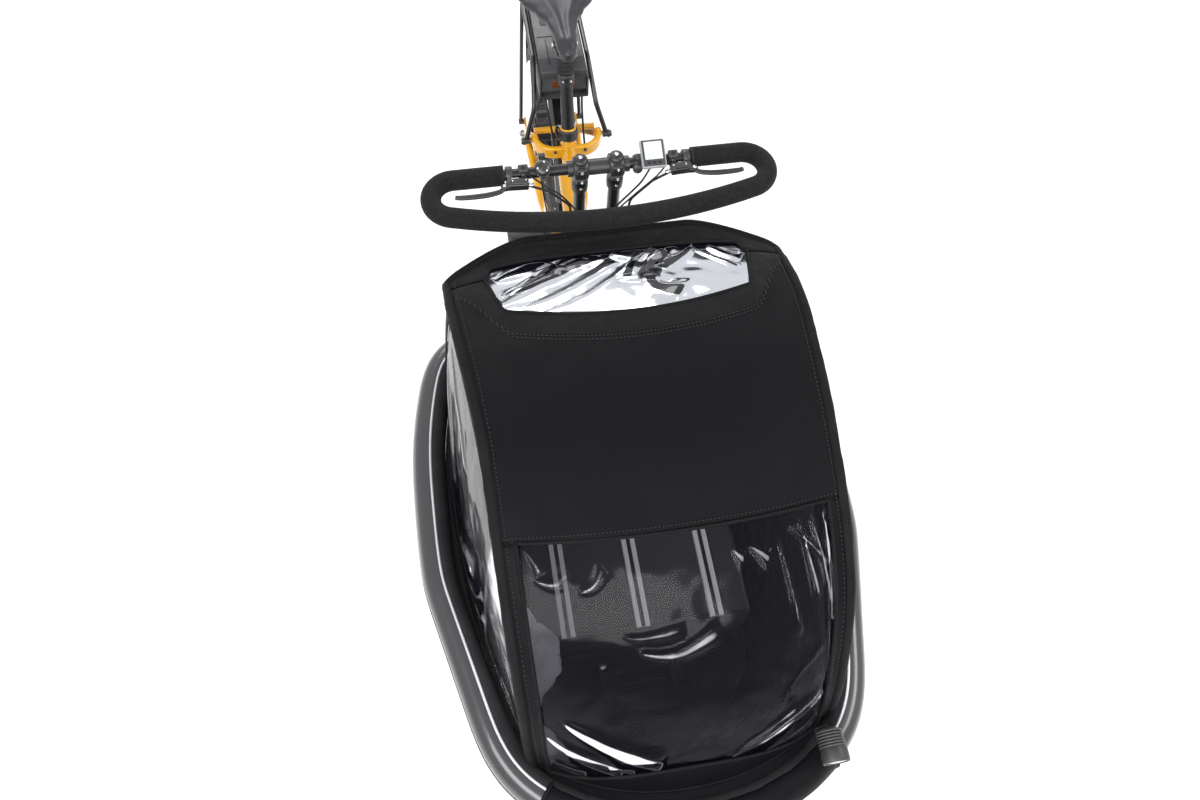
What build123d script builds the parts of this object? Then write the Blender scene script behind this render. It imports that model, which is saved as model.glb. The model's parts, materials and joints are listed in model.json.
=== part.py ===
"""Three-wheeled electric cargo bike: a passenger cabin on two front wheels that
turns, with its handlebar, on a steering pivot in front of a one-wheeled rear frame.

Millimetres.  +Z is up, the bike faces -Y, +X is the rider's left.  The origin is
on the floor, at the middle of the length and width.
"""
import os
from math import asin, cos, degrees, radians, sin, sqrt, tan

from build123d import *

os.makedirs("parts", exist_ok=True)

# ---------------------------------------------------------------- driving sizes
wheelbase = 1209.0            # front axle to rear axle
nose_overhang = 696.0         # front axle to the nose of the bumper
bumper_width = 896.0          # the widest part of the bike
running_gap = 0.3             # between pieces that touch or turn on each other
moving_gap = 6.0              # between pieces that pass each other

rear_wheel_radius = 330.0
rear_tyre_width = 50.0
front_wheel_radius = 250.0
front_tyre_width = 47.0
front_track = 780.0           # between the middles of the front tyres

fender_gap = 12.0             # rear tyre to the inside of its fender
fender_wall = 3.0
rear_overhang = rear_wheel_radius + fender_gap + fender_wall

overall_length = nose_overhang + wheelbase + rear_overhang
front_axle_y = nose_overhang - overall_length / 2
rear_axle_y = front_axle_y + wheelbase
rear_axle_z = rear_wheel_radius
front_axle_z = front_wheel_radius

# ---------------------------------------------------------------- steering pivot
pivot_y = front_axle_y + 489
head_bottom_z = 296.0
head_height = 140.0
head_top_z = head_bottom_z + head_height
head_radius = 26.0
spindle_radius = 14.0
crown_gap = 5.0               # between the head tube and the plates that hold it
crown_plate = 20.0            # thickness of those plates

# ---------------------------------------------------------------- rear frame
bottom_bracket_y = rear_axle_y - 430
bottom_bracket_z = 290.0
seat_angle = 71.0
seat_tube_radius = 18.0
seat_tube_bore = 15.9
seat_tube_top_z = 660.0
beam_radius = 30.0
beam_head_z = 372.0           # beam axis at the head tube
beam_seat_z = 545.0           # beam axis at the seat tube
stay_radius = 10.0
dropout_x = 72.0
rack_eye_step = 24.0          # rack eyelet above and behind the rear axle
yoke_wall = 15.0              # thickness of the yoke's flat band
yoke_height = 34.0
yoke_half_width = 80.0
yoke_depth = 54.0
yoke_z = 602.0
axle_radius = 6.0
front_axle_radius = 8.0


def seat_line_y(z):
    """Y of the seat tube's axis at height z."""
    return bottom_bracket_y + (z - bottom_bracket_z) / tan(radians(seat_angle))


# ---------------------------------------------------------------- drive
chain_line_x = -50.0
chainring_radius = 88.0
cog_radius = 36.0
crank_length = 170.0
crank_inner_x = 67.0
crank_angle = 80.0            # right arm above the horizontal, pointing forward
pedal_length = 92.0
pedal_depth = 84.0
pedal_height = 24.0
pedal_pin_radius = 7.0

# ---------------------------------------------------------------- rack
rack_z = 755.0
rack_half_width = 66.0
rack_tube_radius = 6.0
battery_width = 108.0
battery_height = 74.0
battery_length = 360.0
battery_front_y = rear_axle_y - 236

# ---------------------------------------------------------------- bumper and tub
bumper_bottom_z = 512.0
bumper_height = 92.0
bumper_band = 66.0            # width of the bumper seen from above
bumper_rear_y = front_axle_y + 409
bumper_half = bumper_width / 2
tub_floor_z = 140.0
tub_wall = 6.0
tub_rim_z = 540.0
tub_flange = 8.0
tub_floor_half = 265.0
tub_floor_front_y = -900.0
tub_floor_back_y = -112.0
tub_rim_half = 330.0
tub_rim_front_y = -1030.0
tub_rim_back_y = -96.0
tub_floor_corner = 240.0      # front corners, at the floor and at the rim
tub_rim_corner = 300.0
tub_back_corner = 70.0
tub_lip = 62.0                # width of the flange the bumper is bolted to

# ---------------------------------------------------------------- bench
bench_z = 330.0
bench_half = 240.0
bench_front_y = -675.0
bench_back_y = -235.0
rail_spacing = 165.0
rail_width = 30.0
rail_height = 9.0
rail_slot = 9.0
rail_back_y = -262.0

# ---------------------------------------------------------------- headlamp
lamp_x = 256.0
lamp_y = -1016.0
lamp_z = 640.0
lamp_radius = 25.0
lamp_length = 60.0
hoop_radius = 8.0

# ---------------------------------------------------------------- canopy
canopy_base_z = 560.0
canopy_wall = 8.0
canopy_base_half = 372.0
canopy_top_z = 1036.0
film_depth = 2.0              # window film below the canopy's outer face
film_thickness = 1.5

# ---------------------------------------------------------------- handlebar
handlebar_y = pivot_y + 29
handlebar_z = 955.0
handlebar_half = 335.0        # to the middle of the tube at each end
handlebar_depth = 92.0
handlebar_bow = 40.0          # how far the front run bows ahead of its ends
bar_radius = 11.1
bar_centre_radius = 15.9
foam_radius = 20.0
foam_half_gap = 190.0         # foam leaves the rear bar bare between +- this
post_half_spacing = 36.0
post_radius = 12.7


# ---------------------------------------------------------------- helpers
def save(piece, name):
    """Label a finished piece and write it as one STEP file."""
    piece.label = name
    export_step(piece, f"parts/{name}.step")


def tube_along(points, radius, bends=None, mode=Mode.ADD):
    """A round bar along points, inside the running BuildPart."""
    with BuildLine() as run:
        if bends is None:
            Polyline(*points)
        else:
            FilletPolyline(*points, radius=bends)
    with BuildSketch(Plane(origin=run.line @ 0, z_dir=run.line % 0)) as section:
        Circle(radius)
    sweep(section.sketch, path=run.line, mode=mode)


def rod(start, end, radius, mode=Mode.ADD):
    """A straight round bar from start to end, inside the running BuildPart."""
    line = Vector(end) - Vector(start)
    with BuildSketch(Plane(origin=start, z_dir=line)) as section:
        Circle(radius)
    extrude(section.sketch, amount=line.length, mode=mode)


def side_plane(x=0.0):
    """Sketch plane across the bike: its x runs along +Y and its y along +Z."""
    return Plane(origin=(x, 0, 0), x_dir=(0, 1, 0), z_dir=(1, 0, 0))


# ================================================================ rear frame
with BuildPart() as main_frame:
    rod((0, pivot_y, head_bottom_z), (0, pivot_y, head_top_z), head_radius)
    rod((0, pivot_y, beam_head_z), (0, seat_line_y(beam_seat_z), beam_seat_z), beam_radius)
    rod((0, seat_line_y(bottom_bracket_z), bottom_bracket_z),
        (0, seat_line_y(seat_tube_top_z), seat_tube_top_z), seat_tube_radius)
    rod((-34, bottom_bracket_y, bottom_bracket_z), (34, bottom_bracket_y, bottom_bracket_z), 22)
    seat_bore_z = yoke_z - 60
    rod((0, seat_line_y(seat_bore_z), seat_bore_z),
        (0, seat_line_y(seat_tube_top_z + 10), seat_tube_top_z + 10),
        seat_tube_bore, mode=Mode.SUBTRACT)
    rod((0, pivot_y, head_bottom_z - 1), (0, pivot_y, head_top_z + 1),
        spindle_radius + running_gap, mode=Mode.SUBTRACT)
    rod((-40, bottom_bracket_y, bottom_bracket_z), (40, bottom_bracket_y, bottom_bracket_z),
        10 + running_gap, mode=Mode.SUBTRACT)
save(main_frame.part, "main_frame")

yoke_front_y = seat_line_y(yoke_z) - 4
yoke_back_y = yoke_front_y + yoke_depth
bridge_reach = rear_overhang + running_gap + 8
bridge_z = yoke_z - 12
bridge_y = rear_axle_y - sqrt(bridge_reach**2 - (bridge_z - rear_axle_z) ** 2)

with BuildPart() as rear_stays:
    with BuildLine() as yoke:
        FilletPolyline(
            (-yoke_half_width, yoke_back_y, yoke_z), (-yoke_half_width, yoke_front_y, yoke_z),
            (yoke_half_width, yoke_front_y, yoke_z), (yoke_half_width, yoke_back_y, yoke_z),
            radius=yoke_depth - 6)
    with BuildSketch(Plane(origin=yoke.line @ 0, x_dir=(0, 0, 1), z_dir=yoke.line % 0)) as band:
        RectangleRounded(yoke_height, yoke_wall, yoke_wall * 0.4)
    sweep(band.sketch, path=yoke.line)
    for side in (-1, 1):
        rod((side * yoke_half_width, yoke_back_y - 3, yoke_z),
            (side * dropout_x, rear_axle_y - 12, rear_axle_z + 14), stay_radius + 1)
        tube_along(
            [(side * 20, bottom_bracket_y + 10, bottom_bracket_z + 2),
             (side * 33.5, bottom_bracket_y + 98, bottom_bracket_z + 8),
             (side * 60, bottom_bracket_y + 190, bottom_bracket_z + 18),
             (side * dropout_x, rear_axle_y - 14, rear_axle_z)],
            stay_radius, bends=[120, 200])
        with BuildSketch(side_plane(side * dropout_x - 3)):
            with Locations((rear_axle_y, rear_axle_z)):
                Circle(22)
            with Locations((rear_axle_y - 14, rear_axle_z + 10)):
                Rectangle(34, 34)
            with Locations((rear_axle_y + rack_eye_step, rear_axle_z + rack_eye_step)):
                Circle(12)
            with Locations(Location((rear_axle_y + 12, rear_axle_z + 12), 45)):
                Rectangle(34, 22)
        extrude(amount=6)
    bridge_half = yoke_half_width - 4
    rod((-bridge_half, bridge_y, bridge_z), (bridge_half, bridge_y, bridge_z), 8)
    rod((-80, rear_axle_y, rear_axle_z), (80, rear_axle_y, rear_axle_z),
        axle_radius + 0.2, mode=Mode.SUBTRACT)
    rod((0, seat_line_y(yoke_z - 90), yoke_z - 90), (0, seat_line_y(yoke_z + 60), yoke_z + 60),
        seat_tube_radius, mode=Mode.SUBTRACT)
    rod((-34, bottom_bracket_y, bottom_bracket_z), (34, bottom_bracket_y, bottom_bracket_z),
        22, mode=Mode.SUBTRACT)
    rod((0, seat_line_y(bottom_bracket_z), bottom_bracket_z),
        (0, seat_line_y(bottom_bracket_z + 60), bottom_bracket_z + 60),
        seat_tube_radius, mode=Mode.SUBTRACT)
save(rear_stays.part, "rear_stays")

with BuildPart() as rear_axle:
    rod((-92, rear_axle_y, rear_axle_z), (92, rear_axle_y, rear_axle_z), axle_radius)
    for side in (-1, 1):
        start_x = side * (dropout_x + 3 + running_gap)
        rod((start_x, rear_axle_y, rear_axle_z), (side * 88, rear_axle_y, rear_axle_z), 11)
save(rear_axle.part, "rear_axle")


# ================================================================ wheels
def build_wheel(name, x, y, z, radius, width, hub_profile, spokes, bore):
    """Write the tyre, rim and spoked hub of one wheel, turning about X."""
    rim_outer = radius - width + 8
    rim_inner = rim_outer - 14
    rim_half = width * 0.32
    crown = radius - width / 2
    wheel_plane = Plane(origin=(x, y, z), x_dir=(1, 0, 0), z_dir=(0, -1, 0))
    spin = Axis((x, y, z), (1, 0, 0))

    with BuildPart() as tyre:
        with BuildSketch(wheel_plane):
            with Locations((0, crown)):
                Circle(width / 2)
            with Locations((0, rim_outer - 60)):
                Rectangle(width + 20, 120, mode=Mode.SUBTRACT)
        revolve(axis=spin)
    save(tyre.part, f"{name}_tyre")

    with BuildPart() as rim:
        with BuildSketch(wheel_plane):
            with BuildLine():
                Polyline((-rim_half, rim_outer - running_gap), (rim_half, rim_outer - running_gap),
                         (rim_half, rim_inner + 5), (rim_half * 0.35, rim_inner),
                         (-rim_half * 0.35, rim_inner), (-rim_half, rim_inner + 5), close=True)
            make_face()
        revolve(axis=spin)
    save(rim.part, f"{name}_rim")

    with BuildPart() as hub:
        for x_from, x_to, r in hub_profile:
            rod((x + x_from, y, z), (x + x_to, y, z), r)
        shell_from, shell_to, hub_flange = max(hub_profile, key=lambda step: step[2])
        for k in range(spokes):
            side = (shell_from + 4, shell_to - 4)[k % 2]
            turn = radians(360 * k / spokes)
            lead = turn + radians(7 if k % 4 < 2 else -7)
            foot = Vector(x + side, y + (hub_flange - 3) * cos(lead), z + (hub_flange - 3) * sin(lead))
            reach = rim_inner - running_gap - 0.4
            tip = Vector(x + side * 0.08, y + reach * cos(turn), z + reach * sin(turn))
            rod(foot, tip, 1.5)
        rod((x - 120, y, z), (x + 120, y, z), bore, mode=Mode.SUBTRACT)
    save(hub.part, f"{name}_hub")


hub_bore = axle_radius + running_gap
build_wheel(
    "rear", 0, rear_axle_y, rear_axle_z, rear_wheel_radius, rear_tyre_width,
    [(-44, 50, 78), (-60, 60, 18), (chain_line_x - 1.5, chain_line_x + 1.5, cog_radius)],
    24, hub_bore)
for side, word in ((-1, "right"), (1, "left")):
    build_wheel(
        f"front_{word}", side * front_track / 2, front_axle_y, front_axle_z,
        front_wheel_radius, front_tyre_width,
        [(-34, 34, 14), (-24 - 4 * side, 24 - 4 * side, 46)], 20, front_axle_radius + running_gap)

fender_inner = rear_wheel_radius + fender_gap
fender_outer = fender_inner + fender_wall
with BuildPart() as rear_fender:
    fender_plane = Plane(origin=(0, rear_axle_y, rear_axle_z), x_dir=(1, 0, 0),
                         z_dir=(0, -sin(radians(14)), -cos(radians(14))))
    with BuildSketch(fender_plane):
        with BuildLine():
            Polyline((-32, fender_inner - 16), (-32, fender_inner - 6), (-22, fender_outer),
                     (22, fender_outer), (32, fender_inner - 6), (32, fender_inner - 16),
                     (29, fender_inner - 16), (29, fender_inner - 7), (20.7, fender_inner),
                     (-20.7, fender_inner), (-29, fender_inner - 7), (-29, fender_inner - 16),
                     close=True)
        make_face()
    revolve(axis=Axis((0, rear_axle_y, rear_axle_z), (-1, 0, 0)), revolution_arc=174)
save(rear_fender.part, "rear_fender")


# ================================================================ rack and battery
rack_front_y = yoke_front_y + 154
rack_back_y = rear_axle_y + 248
rack_foot_x = yoke_half_width + 21
rack_foot_y = yoke_back_y - 8
eye_x = dropout_x + 3 + running_gap
leg_foot = (rear_axle_y + rack_eye_step, rear_axle_z + rack_eye_step)
with BuildPart() as rear_rack:
    tube_along(
        [(-rack_foot_x, rack_foot_y, yoke_z), (-rack_half_width - 10, rack_foot_y + 26, yoke_z + 80),
         (-rack_half_width, rack_front_y, rack_z), (-rack_half_width, rack_back_y, rack_z),
         (rack_half_width, rack_back_y, rack_z), (rack_half_width, rack_front_y, rack_z),
         (rack_half_width + 10, rack_foot_y + 26, yoke_z + 80), (rack_foot_x, rack_foot_y, yoke_z)],
        rack_tube_radius, bends=[40, 36, 26, 26, 36, 40])
    for side in (-1, 1):
        yoke_side = yoke_half_width + stay_radius + 1 + running_gap
        rod((side * yoke_side, rack_foot_y, yoke_z), (side * (rack_foot_x + 12), rack_foot_y, yoke_z), 8)
        rod((side * rack_half_width, rear_axle_y + 50, rack_z), (side * 84, *leg_foot), 5)
        rod((side * eye_x, *leg_foot), (side * 90, *leg_foot), 8)
    rod((-rack_half_width, rear_axle_y + 170, rack_z), (rack_half_width, rear_axle_y + 170, rack_z), 5)
save(rear_rack.part, "rear_rack")

dock_half = rack_half_width - rack_tube_radius - running_gap
dock_floor_z = rear_axle_z + fender_outer + 14
battery_bottom_z = dock_floor_z + 6 + running_gap
with BuildPart() as battery_dock:
    with BuildSketch(Plane(origin=(0, 0, dock_floor_z))):
        with Locations((0, battery_front_y + battery_length / 2)):
            Rectangle(2 * dock_half, battery_length)
    extrude(amount=6)
    for side in (-1, 1):
        with BuildSketch(side_plane(side * dock_half - (4 if side > 0 else 0))):
            with Locations((battery_front_y + battery_length / 2, dock_floor_z + 30)):
                Rectangle(battery_length, 60)
        extrude(amount=4)
    with BuildSketch(Plane(origin=(0, 0, rear_axle_z + fender_outer + running_gap))):
        with Locations((0, rear_axle_y)):
            Circle(9)
    extrude(amount=dock_floor_z - rear_axle_z - fender_outer)
save(battery_dock.part, "battery_dock")

with BuildPart() as rack_battery:
    with BuildSketch(side_plane(-battery_width / 2)):
        with BuildLine():
            back_y = battery_front_y + battery_length
            top_z = battery_bottom_z + battery_height
            Polyline((battery_front_y + 14, battery_bottom_z), (back_y, battery_bottom_z),
                     (back_y, top_z), (battery_front_y + 52, top_z),
                     (battery_front_y + 16, top_z - 8), (battery_front_y, battery_bottom_z + 22),
                     close=True)
        make_face()
    extrude(amount=battery_width)
    fillet(rack_battery.edges().filter_by(Axis.X), 5)
save(rack_battery.part, "rack_battery")

with BuildPart() as rear_light:
    with BuildSketch(Plane(origin=(0, rack_back_y + rack_tube_radius + running_gap, rack_z),
                           x_dir=(1, 0, 0), z_dir=(0, 1, 0))):
        RectangleRounded(84, 34, 8)
    extrude(amount=18)
    fillet(rear_light.faces().sort_by(Axis.Y)[-1].edges(), 4)
save(rear_light.part, "rear_light")


# ================================================================ saddle and post
post_top_z = 790.0
bellows_top_z = 836.0
saddle_under_z = 866.0
with BuildPart() as seatpost:
    rod((0, seat_line_y(yoke_z - 20), yoke_z - 20), (0, seat_line_y(post_top_z), post_top_z),
        seat_tube_bore - running_gap)
    rod((0, seat_line_y(post_top_z - 24), post_top_z - 24),
        (0, seat_line_y(post_top_z), post_top_z), 19)
save(seatpost.part, "seatpost")

with BuildPart() as seatpost_bellows:
    start_z = post_top_z + running_gap
    pitch = (bellows_top_z - start_z) / 5
    for ring in range(5):
        low = start_z + ring * pitch
        rod((0, seat_line_y(low), low), (0, seat_line_y(low + pitch), low + pitch), 17)
        rod((0, seat_line_y(low + pitch * 0.25), low + pitch * 0.25),
            (0, seat_line_y(low + pitch * 0.75), low + pitch * 0.75), 20)
save(seatpost_bellows.part, "seatpost_bellows")

with BuildPart() as seat_clamp:
    low_z = seat_tube_top_z - 26
    rod((0, seat_line_y(low_z), low_z), (0, seat_line_y(low_z + 22), low_z + 22), 23.5)
    with BuildSketch(Plane(origin=(0, 0, low_z + 2))):
        with Locations((0, seat_line_y(low_z + 12) + 28)):
            Rectangle(16, 20)
    extrude(amount=16)
    rod((-26, seat_line_y(low_z + 12) + 31, low_z + 10), (26, seat_line_y(low_z + 12) + 31, low_z + 10), 5)
    rod((26, seat_line_y(low_z + 12) + 31, low_z + 10), (34, seat_line_y(low_z + 12) - 24, low_z + 8), 4)
    rod((0, seat_line_y(low_z - 20), low_z - 20), (0, seat_line_y(low_z + 50), low_z + 50),
        seat_tube_radius + running_gap, mode=Mode.SUBTRACT)
save(seat_clamp.part, "seat_clamp")

saddle_nose_y = rear_axle_y - 306
saddle_length = 268.0
saddle_half = 98.0
saddle_stations = (            # share of the length, half width, height, roundness
    (0.0, 16, 26, 7), (0.12, 24, 36, 10), (0.42, 36, 40, 14),
    (0.72, saddle_half - 8, 42, 18), (0.86, saddle_half, 44, 20), (1.0, saddle_half - 34, 34, 14))
with BuildPart() as saddle:
    sections = []
    for share, half, height, corner in saddle_stations:
        station = Plane(origin=(0, saddle_nose_y + share * saddle_length, saddle_under_z),
                        x_dir=(1, 0, 0), z_dir=(0, 1, 0))
        with BuildSketch(station) as section:
            with Locations((0, -height / 2)):
                RectangleRounded(2 * half, height, corner / 2)
        sections.append(section.sketch)
    loft(sections)
    clamp_y = seat_line_y(bellows_top_z + 12)
    rod((0, seat_line_y(bellows_top_z + running_gap), bellows_top_z + running_gap),
        (0, seat_line_y(saddle_under_z - 6), saddle_under_z - 6), 12)
    for side in (-1, 1):
        rod((side * 22, clamp_y - 30, saddle_under_z - 10), (side * 22, clamp_y + 120, saddle_under_z - 10), 3.5)
        rod((side * 22, clamp_y - 30, saddle_under_z - 10), (side * 10, clamp_y - 55, saddle_under_z + 4), 3.5)
        rod((side * 22, clamp_y + 120, saddle_under_z - 10), (side * 30, clamp_y + 150, saddle_under_z + 4), 3.5)
    rod((-27, clamp_y + 8, saddle_under_z - 10), (27, clamp_y + 8, saddle_under_z - 10), 9)
save(saddle.part, "saddle")


# ================================================================ drive
def belt_face(front_radius, rear_radius):
    """Add the outline of a belt round chainring and cog to the running sketch."""
    run_y = rear_axle_y - bottom_bracket_y
    run_z = rear_axle_z - bottom_bracket_z
    span = sqrt(run_y**2 + run_z**2)
    lean = degrees(asin(run_z / span))
    spread = degrees(asin((front_radius - rear_radius) / span))
    corners = []
    for sign, radius, y, z in (
            (1, front_radius, bottom_bracket_y, bottom_bracket_z),
            (1, rear_radius, rear_axle_y, rear_axle_z),
            (-1, rear_radius, rear_axle_y, rear_axle_z),
            (-1, front_radius, bottom_bracket_y, bottom_bracket_z)):
        angle = radians(lean + sign * (90 - spread))
        corners.append((y + radius * cos(angle), z + radius * sin(angle)))
    with BuildSketch(side_plane()) as outline:
        with Locations((bottom_bracket_y, bottom_bracket_z)):
            Circle(front_radius)
        with Locations((rear_axle_y, rear_axle_z)):
            Circle(rear_radius)
        Polygon(*corners, align=None)
    return outline.sketch


with BuildPart() as chain:
    outer = belt_face(chainring_radius + 8, cog_radius + 8)
    inner = belt_face(chainring_radius + 1, cog_radius + 1)
    extrude(outer, amount=3.5, both=True)
    extrude(inner, amount=5, both=True, mode=Mode.SUBTRACT)
save(Pos(chain_line_x, 0, 0) * chain.part, "chain")

guard_radius = chainring_radius + 15
guard_x = chain_line_x - 11
with BuildPart() as chain_guard:
    cover = belt_face(guard_radius, cog_radius + 15)
    extrude(cover, amount=3)
    with BuildSketch(side_plane()) as cut:
        with Locations((bottom_bracket_y + 350, bottom_bracket_z - 60)):
            Rectangle(700, 200)
        with Locations((rear_axle_y, bottom_bracket_z)):
            Rectangle(200, 400)
        with Locations((bottom_bracket_y, bottom_bracket_z)):
            Circle(26)
    extrude(cut.sketch, amount=3, mode=Mode.SUBTRACT)
    tab_z = bottom_bracket_z + 112
    rod((0, seat_line_y(tab_z), tab_z - 22), (3, seat_line_y(tab_z), tab_z - 22), 14)
    rod((0, seat_line_y(tab_z), tab_z), (3, seat_line_y(tab_z), tab_z), 14)
    reach = -guard_x - seat_tube_radius - running_gap
    rod((0, seat_line_y(tab_z), tab_z), (reach, seat_line_y(tab_z), tab_z), 5)
save(Pos(guard_x, 0, 0) * chain_guard.part, "chain_guard")

arm_y = crank_length * cos(radians(crank_angle))
arm_z = crank_length * sin(radians(crank_angle))
pedal_inner_x = crank_inner_x + 12 + 3
with BuildPart() as crankset:
    rod((-crank_inner_x - 6, bottom_bracket_y, bottom_bracket_z),
        (crank_inner_x + 6, bottom_bracket_y, bottom_bracket_z), 10)
    for side in (-1, 1):
        tip = (bottom_bracket_y + side * arm_y, bottom_bracket_z - side * arm_z)
        with BuildSketch(side_plane(side * crank_inner_x - (12 if side < 0 else 0))) as arm:
            with Locations((bottom_bracket_y, bottom_bracket_z)):
                Circle(19)
            with Locations(tip):
                Circle(13)
            with Locations(Location(((bottom_bracket_y + tip[0]) / 2, (bottom_bracket_z + tip[1]) / 2),
                                    -crank_angle)):
                Rectangle(crank_length, 24)
        extrude(arm.sketch, amount=12)
        rod((side * (crank_inner_x + 6), *tip), (side * (pedal_inner_x + pedal_length), *tip),
            pedal_pin_radius)
    rod((-crank_inner_x, bottom_bracket_y, bottom_bracket_z),
        (chain_line_x + 1.5, bottom_bracket_y, bottom_bracket_z), 26)
    with BuildSketch(side_plane(chain_line_x - 1.5)) as ring:
        with Locations((bottom_bracket_y, bottom_bracket_z)):
            Circle(chainring_radius)
            with PolarLocations(52, 5):
                Circle(19, mode=Mode.SUBTRACT)
    extrude(ring.sketch, amount=3)
save(crankset.part, "crankset")

for side, word in ((-1, "right"), (1, "left")):
    tip = (bottom_bracket_y + side * arm_y, bottom_bracket_z - side * arm_z)
    with BuildPart() as pedal:
        with BuildSketch(side_plane(pedal_inner_x if side > 0 else -pedal_inner_x - pedal_length)):
            with Locations(tip):
                RectangleRounded(pedal_depth, pedal_height, 8)
        extrude(amount=pedal_length)
        rod((side * (pedal_inner_x - 5), *tip), (side * (pedal_inner_x + pedal_length + 5), *tip),
            pedal_pin_radius + running_gap, mode=Mode.SUBTRACT)
    save(pedal.part, f"pedal_{word}")


# ================================================================ front frame
crown_low_z = head_bottom_z - crown_gap - crown_plate
crown_high_z = head_top_z + crown_gap + crown_plate
mast_back_y = pivot_y - 90
mast_depth = 46.0
spine_bottom_z = tub_floor_z - running_gap - 46
upright_x = front_track / 2 - 72
with BuildPart() as front_frame:
    with Locations((0, (front_axle_y - 40 + mast_back_y) / 2, spine_bottom_z + 23)):
        Box(46, mast_back_y - front_axle_y + 40, 46)
    with Locations((0, mast_back_y - mast_depth / 2, (spine_bottom_z + crown_high_z) / 2)):
        Box(60, mast_depth, crown_high_z - spine_bottom_z)
    for low_z, half, back in ((crown_low_z, 30, pivot_y + 30),
                              (crown_high_z - crown_plate, 56, handlebar_y + 20)):
        with Locations((0, (mast_back_y - mast_depth + back) / 2, low_z + crown_plate / 2)):
            Box(2 * half, back - mast_back_y + mast_depth, crown_plate)
    rod((0, pivot_y, crown_low_z), (0, pivot_y, crown_high_z), spindle_radius)
    rod((-upright_x, front_axle_y, spine_bottom_z + 23), (upright_x, front_axle_y, spine_bottom_z + 23), 20)
    for side in (-1, 1):
        with BuildSketch(side_plane(side * upright_x - 6)):
            with Locations((front_axle_y, (spine_bottom_z + front_axle_z + 30) / 2)):
                Rectangle(56, front_axle_z + 30 - spine_bottom_z)
        extrude(amount=12)
        rod((side * upright_x, front_axle_y, front_axle_z),
            (side * (front_track / 2 + 44), front_axle_y, front_axle_z), front_axle_radius)
        rod((side * upright_x, front_axle_y, front_axle_z),
            (side * (front_track / 2 - 40), front_axle_y, front_axle_z), 15)
save(front_frame.part, "front_frame")


# ================================================================ bumper, tub, bench
nose_y = front_axle_y - nose_overhang


def bumper_line():
    """The middle line of the bumper band, drawn into the running BuildLine."""
    half = bumper_half - bumper_band / 2
    front_y = nose_y + bumper_band / 2
    back_y = bumper_rear_y - bumper_band / 2
    Spline((0, front_y), (half * 0.48, front_y + 42), (half * 0.72, front_y + 118),
           (half * 0.88, front_y + 311), (half * 0.955, front_y + 439), (half, front_axle_y),
           tangents=((1, 0), (0, 1)))
    Spline((half, front_axle_y), (half * 0.94, back_y - 125), (half * 0.66, back_y),
           tangents=((0, 1), (-1, 0)))
    Line((half * 0.66, back_y), (0, back_y))
    mirror(about=Plane.YZ)


with BuildPart() as bumper_ring:
    with BuildLine() as round_trip:
        bumper_line()
    with BuildSketch(Plane(origin=(0, nose_y + bumper_band / 2, 0), x_dir=(0, 1, 0),
                           z_dir=(1, 0, 0))) as band:
        RectangleRounded(bumper_band, bumper_height, 26)
    sweep(band.sketch, path=round_trip.wire())
save(Pos(0, 0, bumper_bottom_z + bumper_height / 2) * bumper_ring.part, "bumper_ring")


def tub_block(inset, low_z, high_z):
    """The tub's outer block, drawn in by inset, from low_z to high_z."""
    sections = []
    for z in (low_z, high_z):
        share = (z - tub_floor_z) / (tub_rim_z - tub_floor_z)
        half = tub_floor_half + share * (tub_rim_half - tub_floor_half) - inset
        front = tub_floor_front_y + share * (tub_rim_front_y - tub_floor_front_y) + inset
        back = tub_floor_back_y + share * (tub_rim_back_y - tub_floor_back_y) - inset
        corner = tub_floor_corner + share * (tub_rim_corner - tub_floor_corner) - inset
        with BuildSketch(Plane.XY.offset(z)) as level:
            with Locations((0, (front + back) / 2)):
                Rectangle(2 * half, back - front)
            fillet(level.vertices().sort_by(Axis.Y)[:2], corner)
            fillet(level.vertices().sort_by(Axis.Y)[-2:], tub_back_corner - inset)
        sections.append(level.sketch)
    with BuildPart() as block:
        loft(sections)
    return block.part


with BuildPart() as flange:
    with BuildLine() as round_trip:
        bumper_line()
    inner_y = nose_y + bumper_band + 2 * running_gap
    with BuildSketch(Plane(origin=(0, inner_y, 0), x_dir=(0, 1, 0), z_dir=(1, 0, 0))) as lip:
        with Locations((tub_lip / 2, tub_flange / 2)):
            Rectangle(tub_lip, tub_flange)
    sweep(lip.sketch, path=round_trip.wire())
with BuildPart() as cabin_tub:
    add(Pos(0, 0, tub_rim_z) * flange.part)
    add(tub_block(0, tub_floor_z, tub_rim_z + 1))
    add(tub_block(tub_wall, tub_floor_z + tub_wall, tub_rim_z + tub_flange + 1), mode=Mode.SUBTRACT)
save(cabin_tub.part, "cabin_tub")

floor_top_z = tub_floor_z + tub_wall
with BuildPart() as bench:
    with BuildSketch(side_plane(-bench_half)):
        with BuildLine():
            Polyline((bench_front_y, floor_top_z + running_gap), (bench_front_y, bench_z),
                     (bench_back_y, bench_z), (bench_back_y + 78, bench_z + 410),
                     (bench_back_y + 112, bench_z + 410), (bench_back_y + 36, bench_z - 12),
                     (bench_front_y + 12, bench_z - 12), (bench_front_y + 12, floor_top_z + running_gap),
                     close=True)
        make_face()
    extrude(amount=2 * bench_half)
save(bench.part, "bench")

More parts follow.
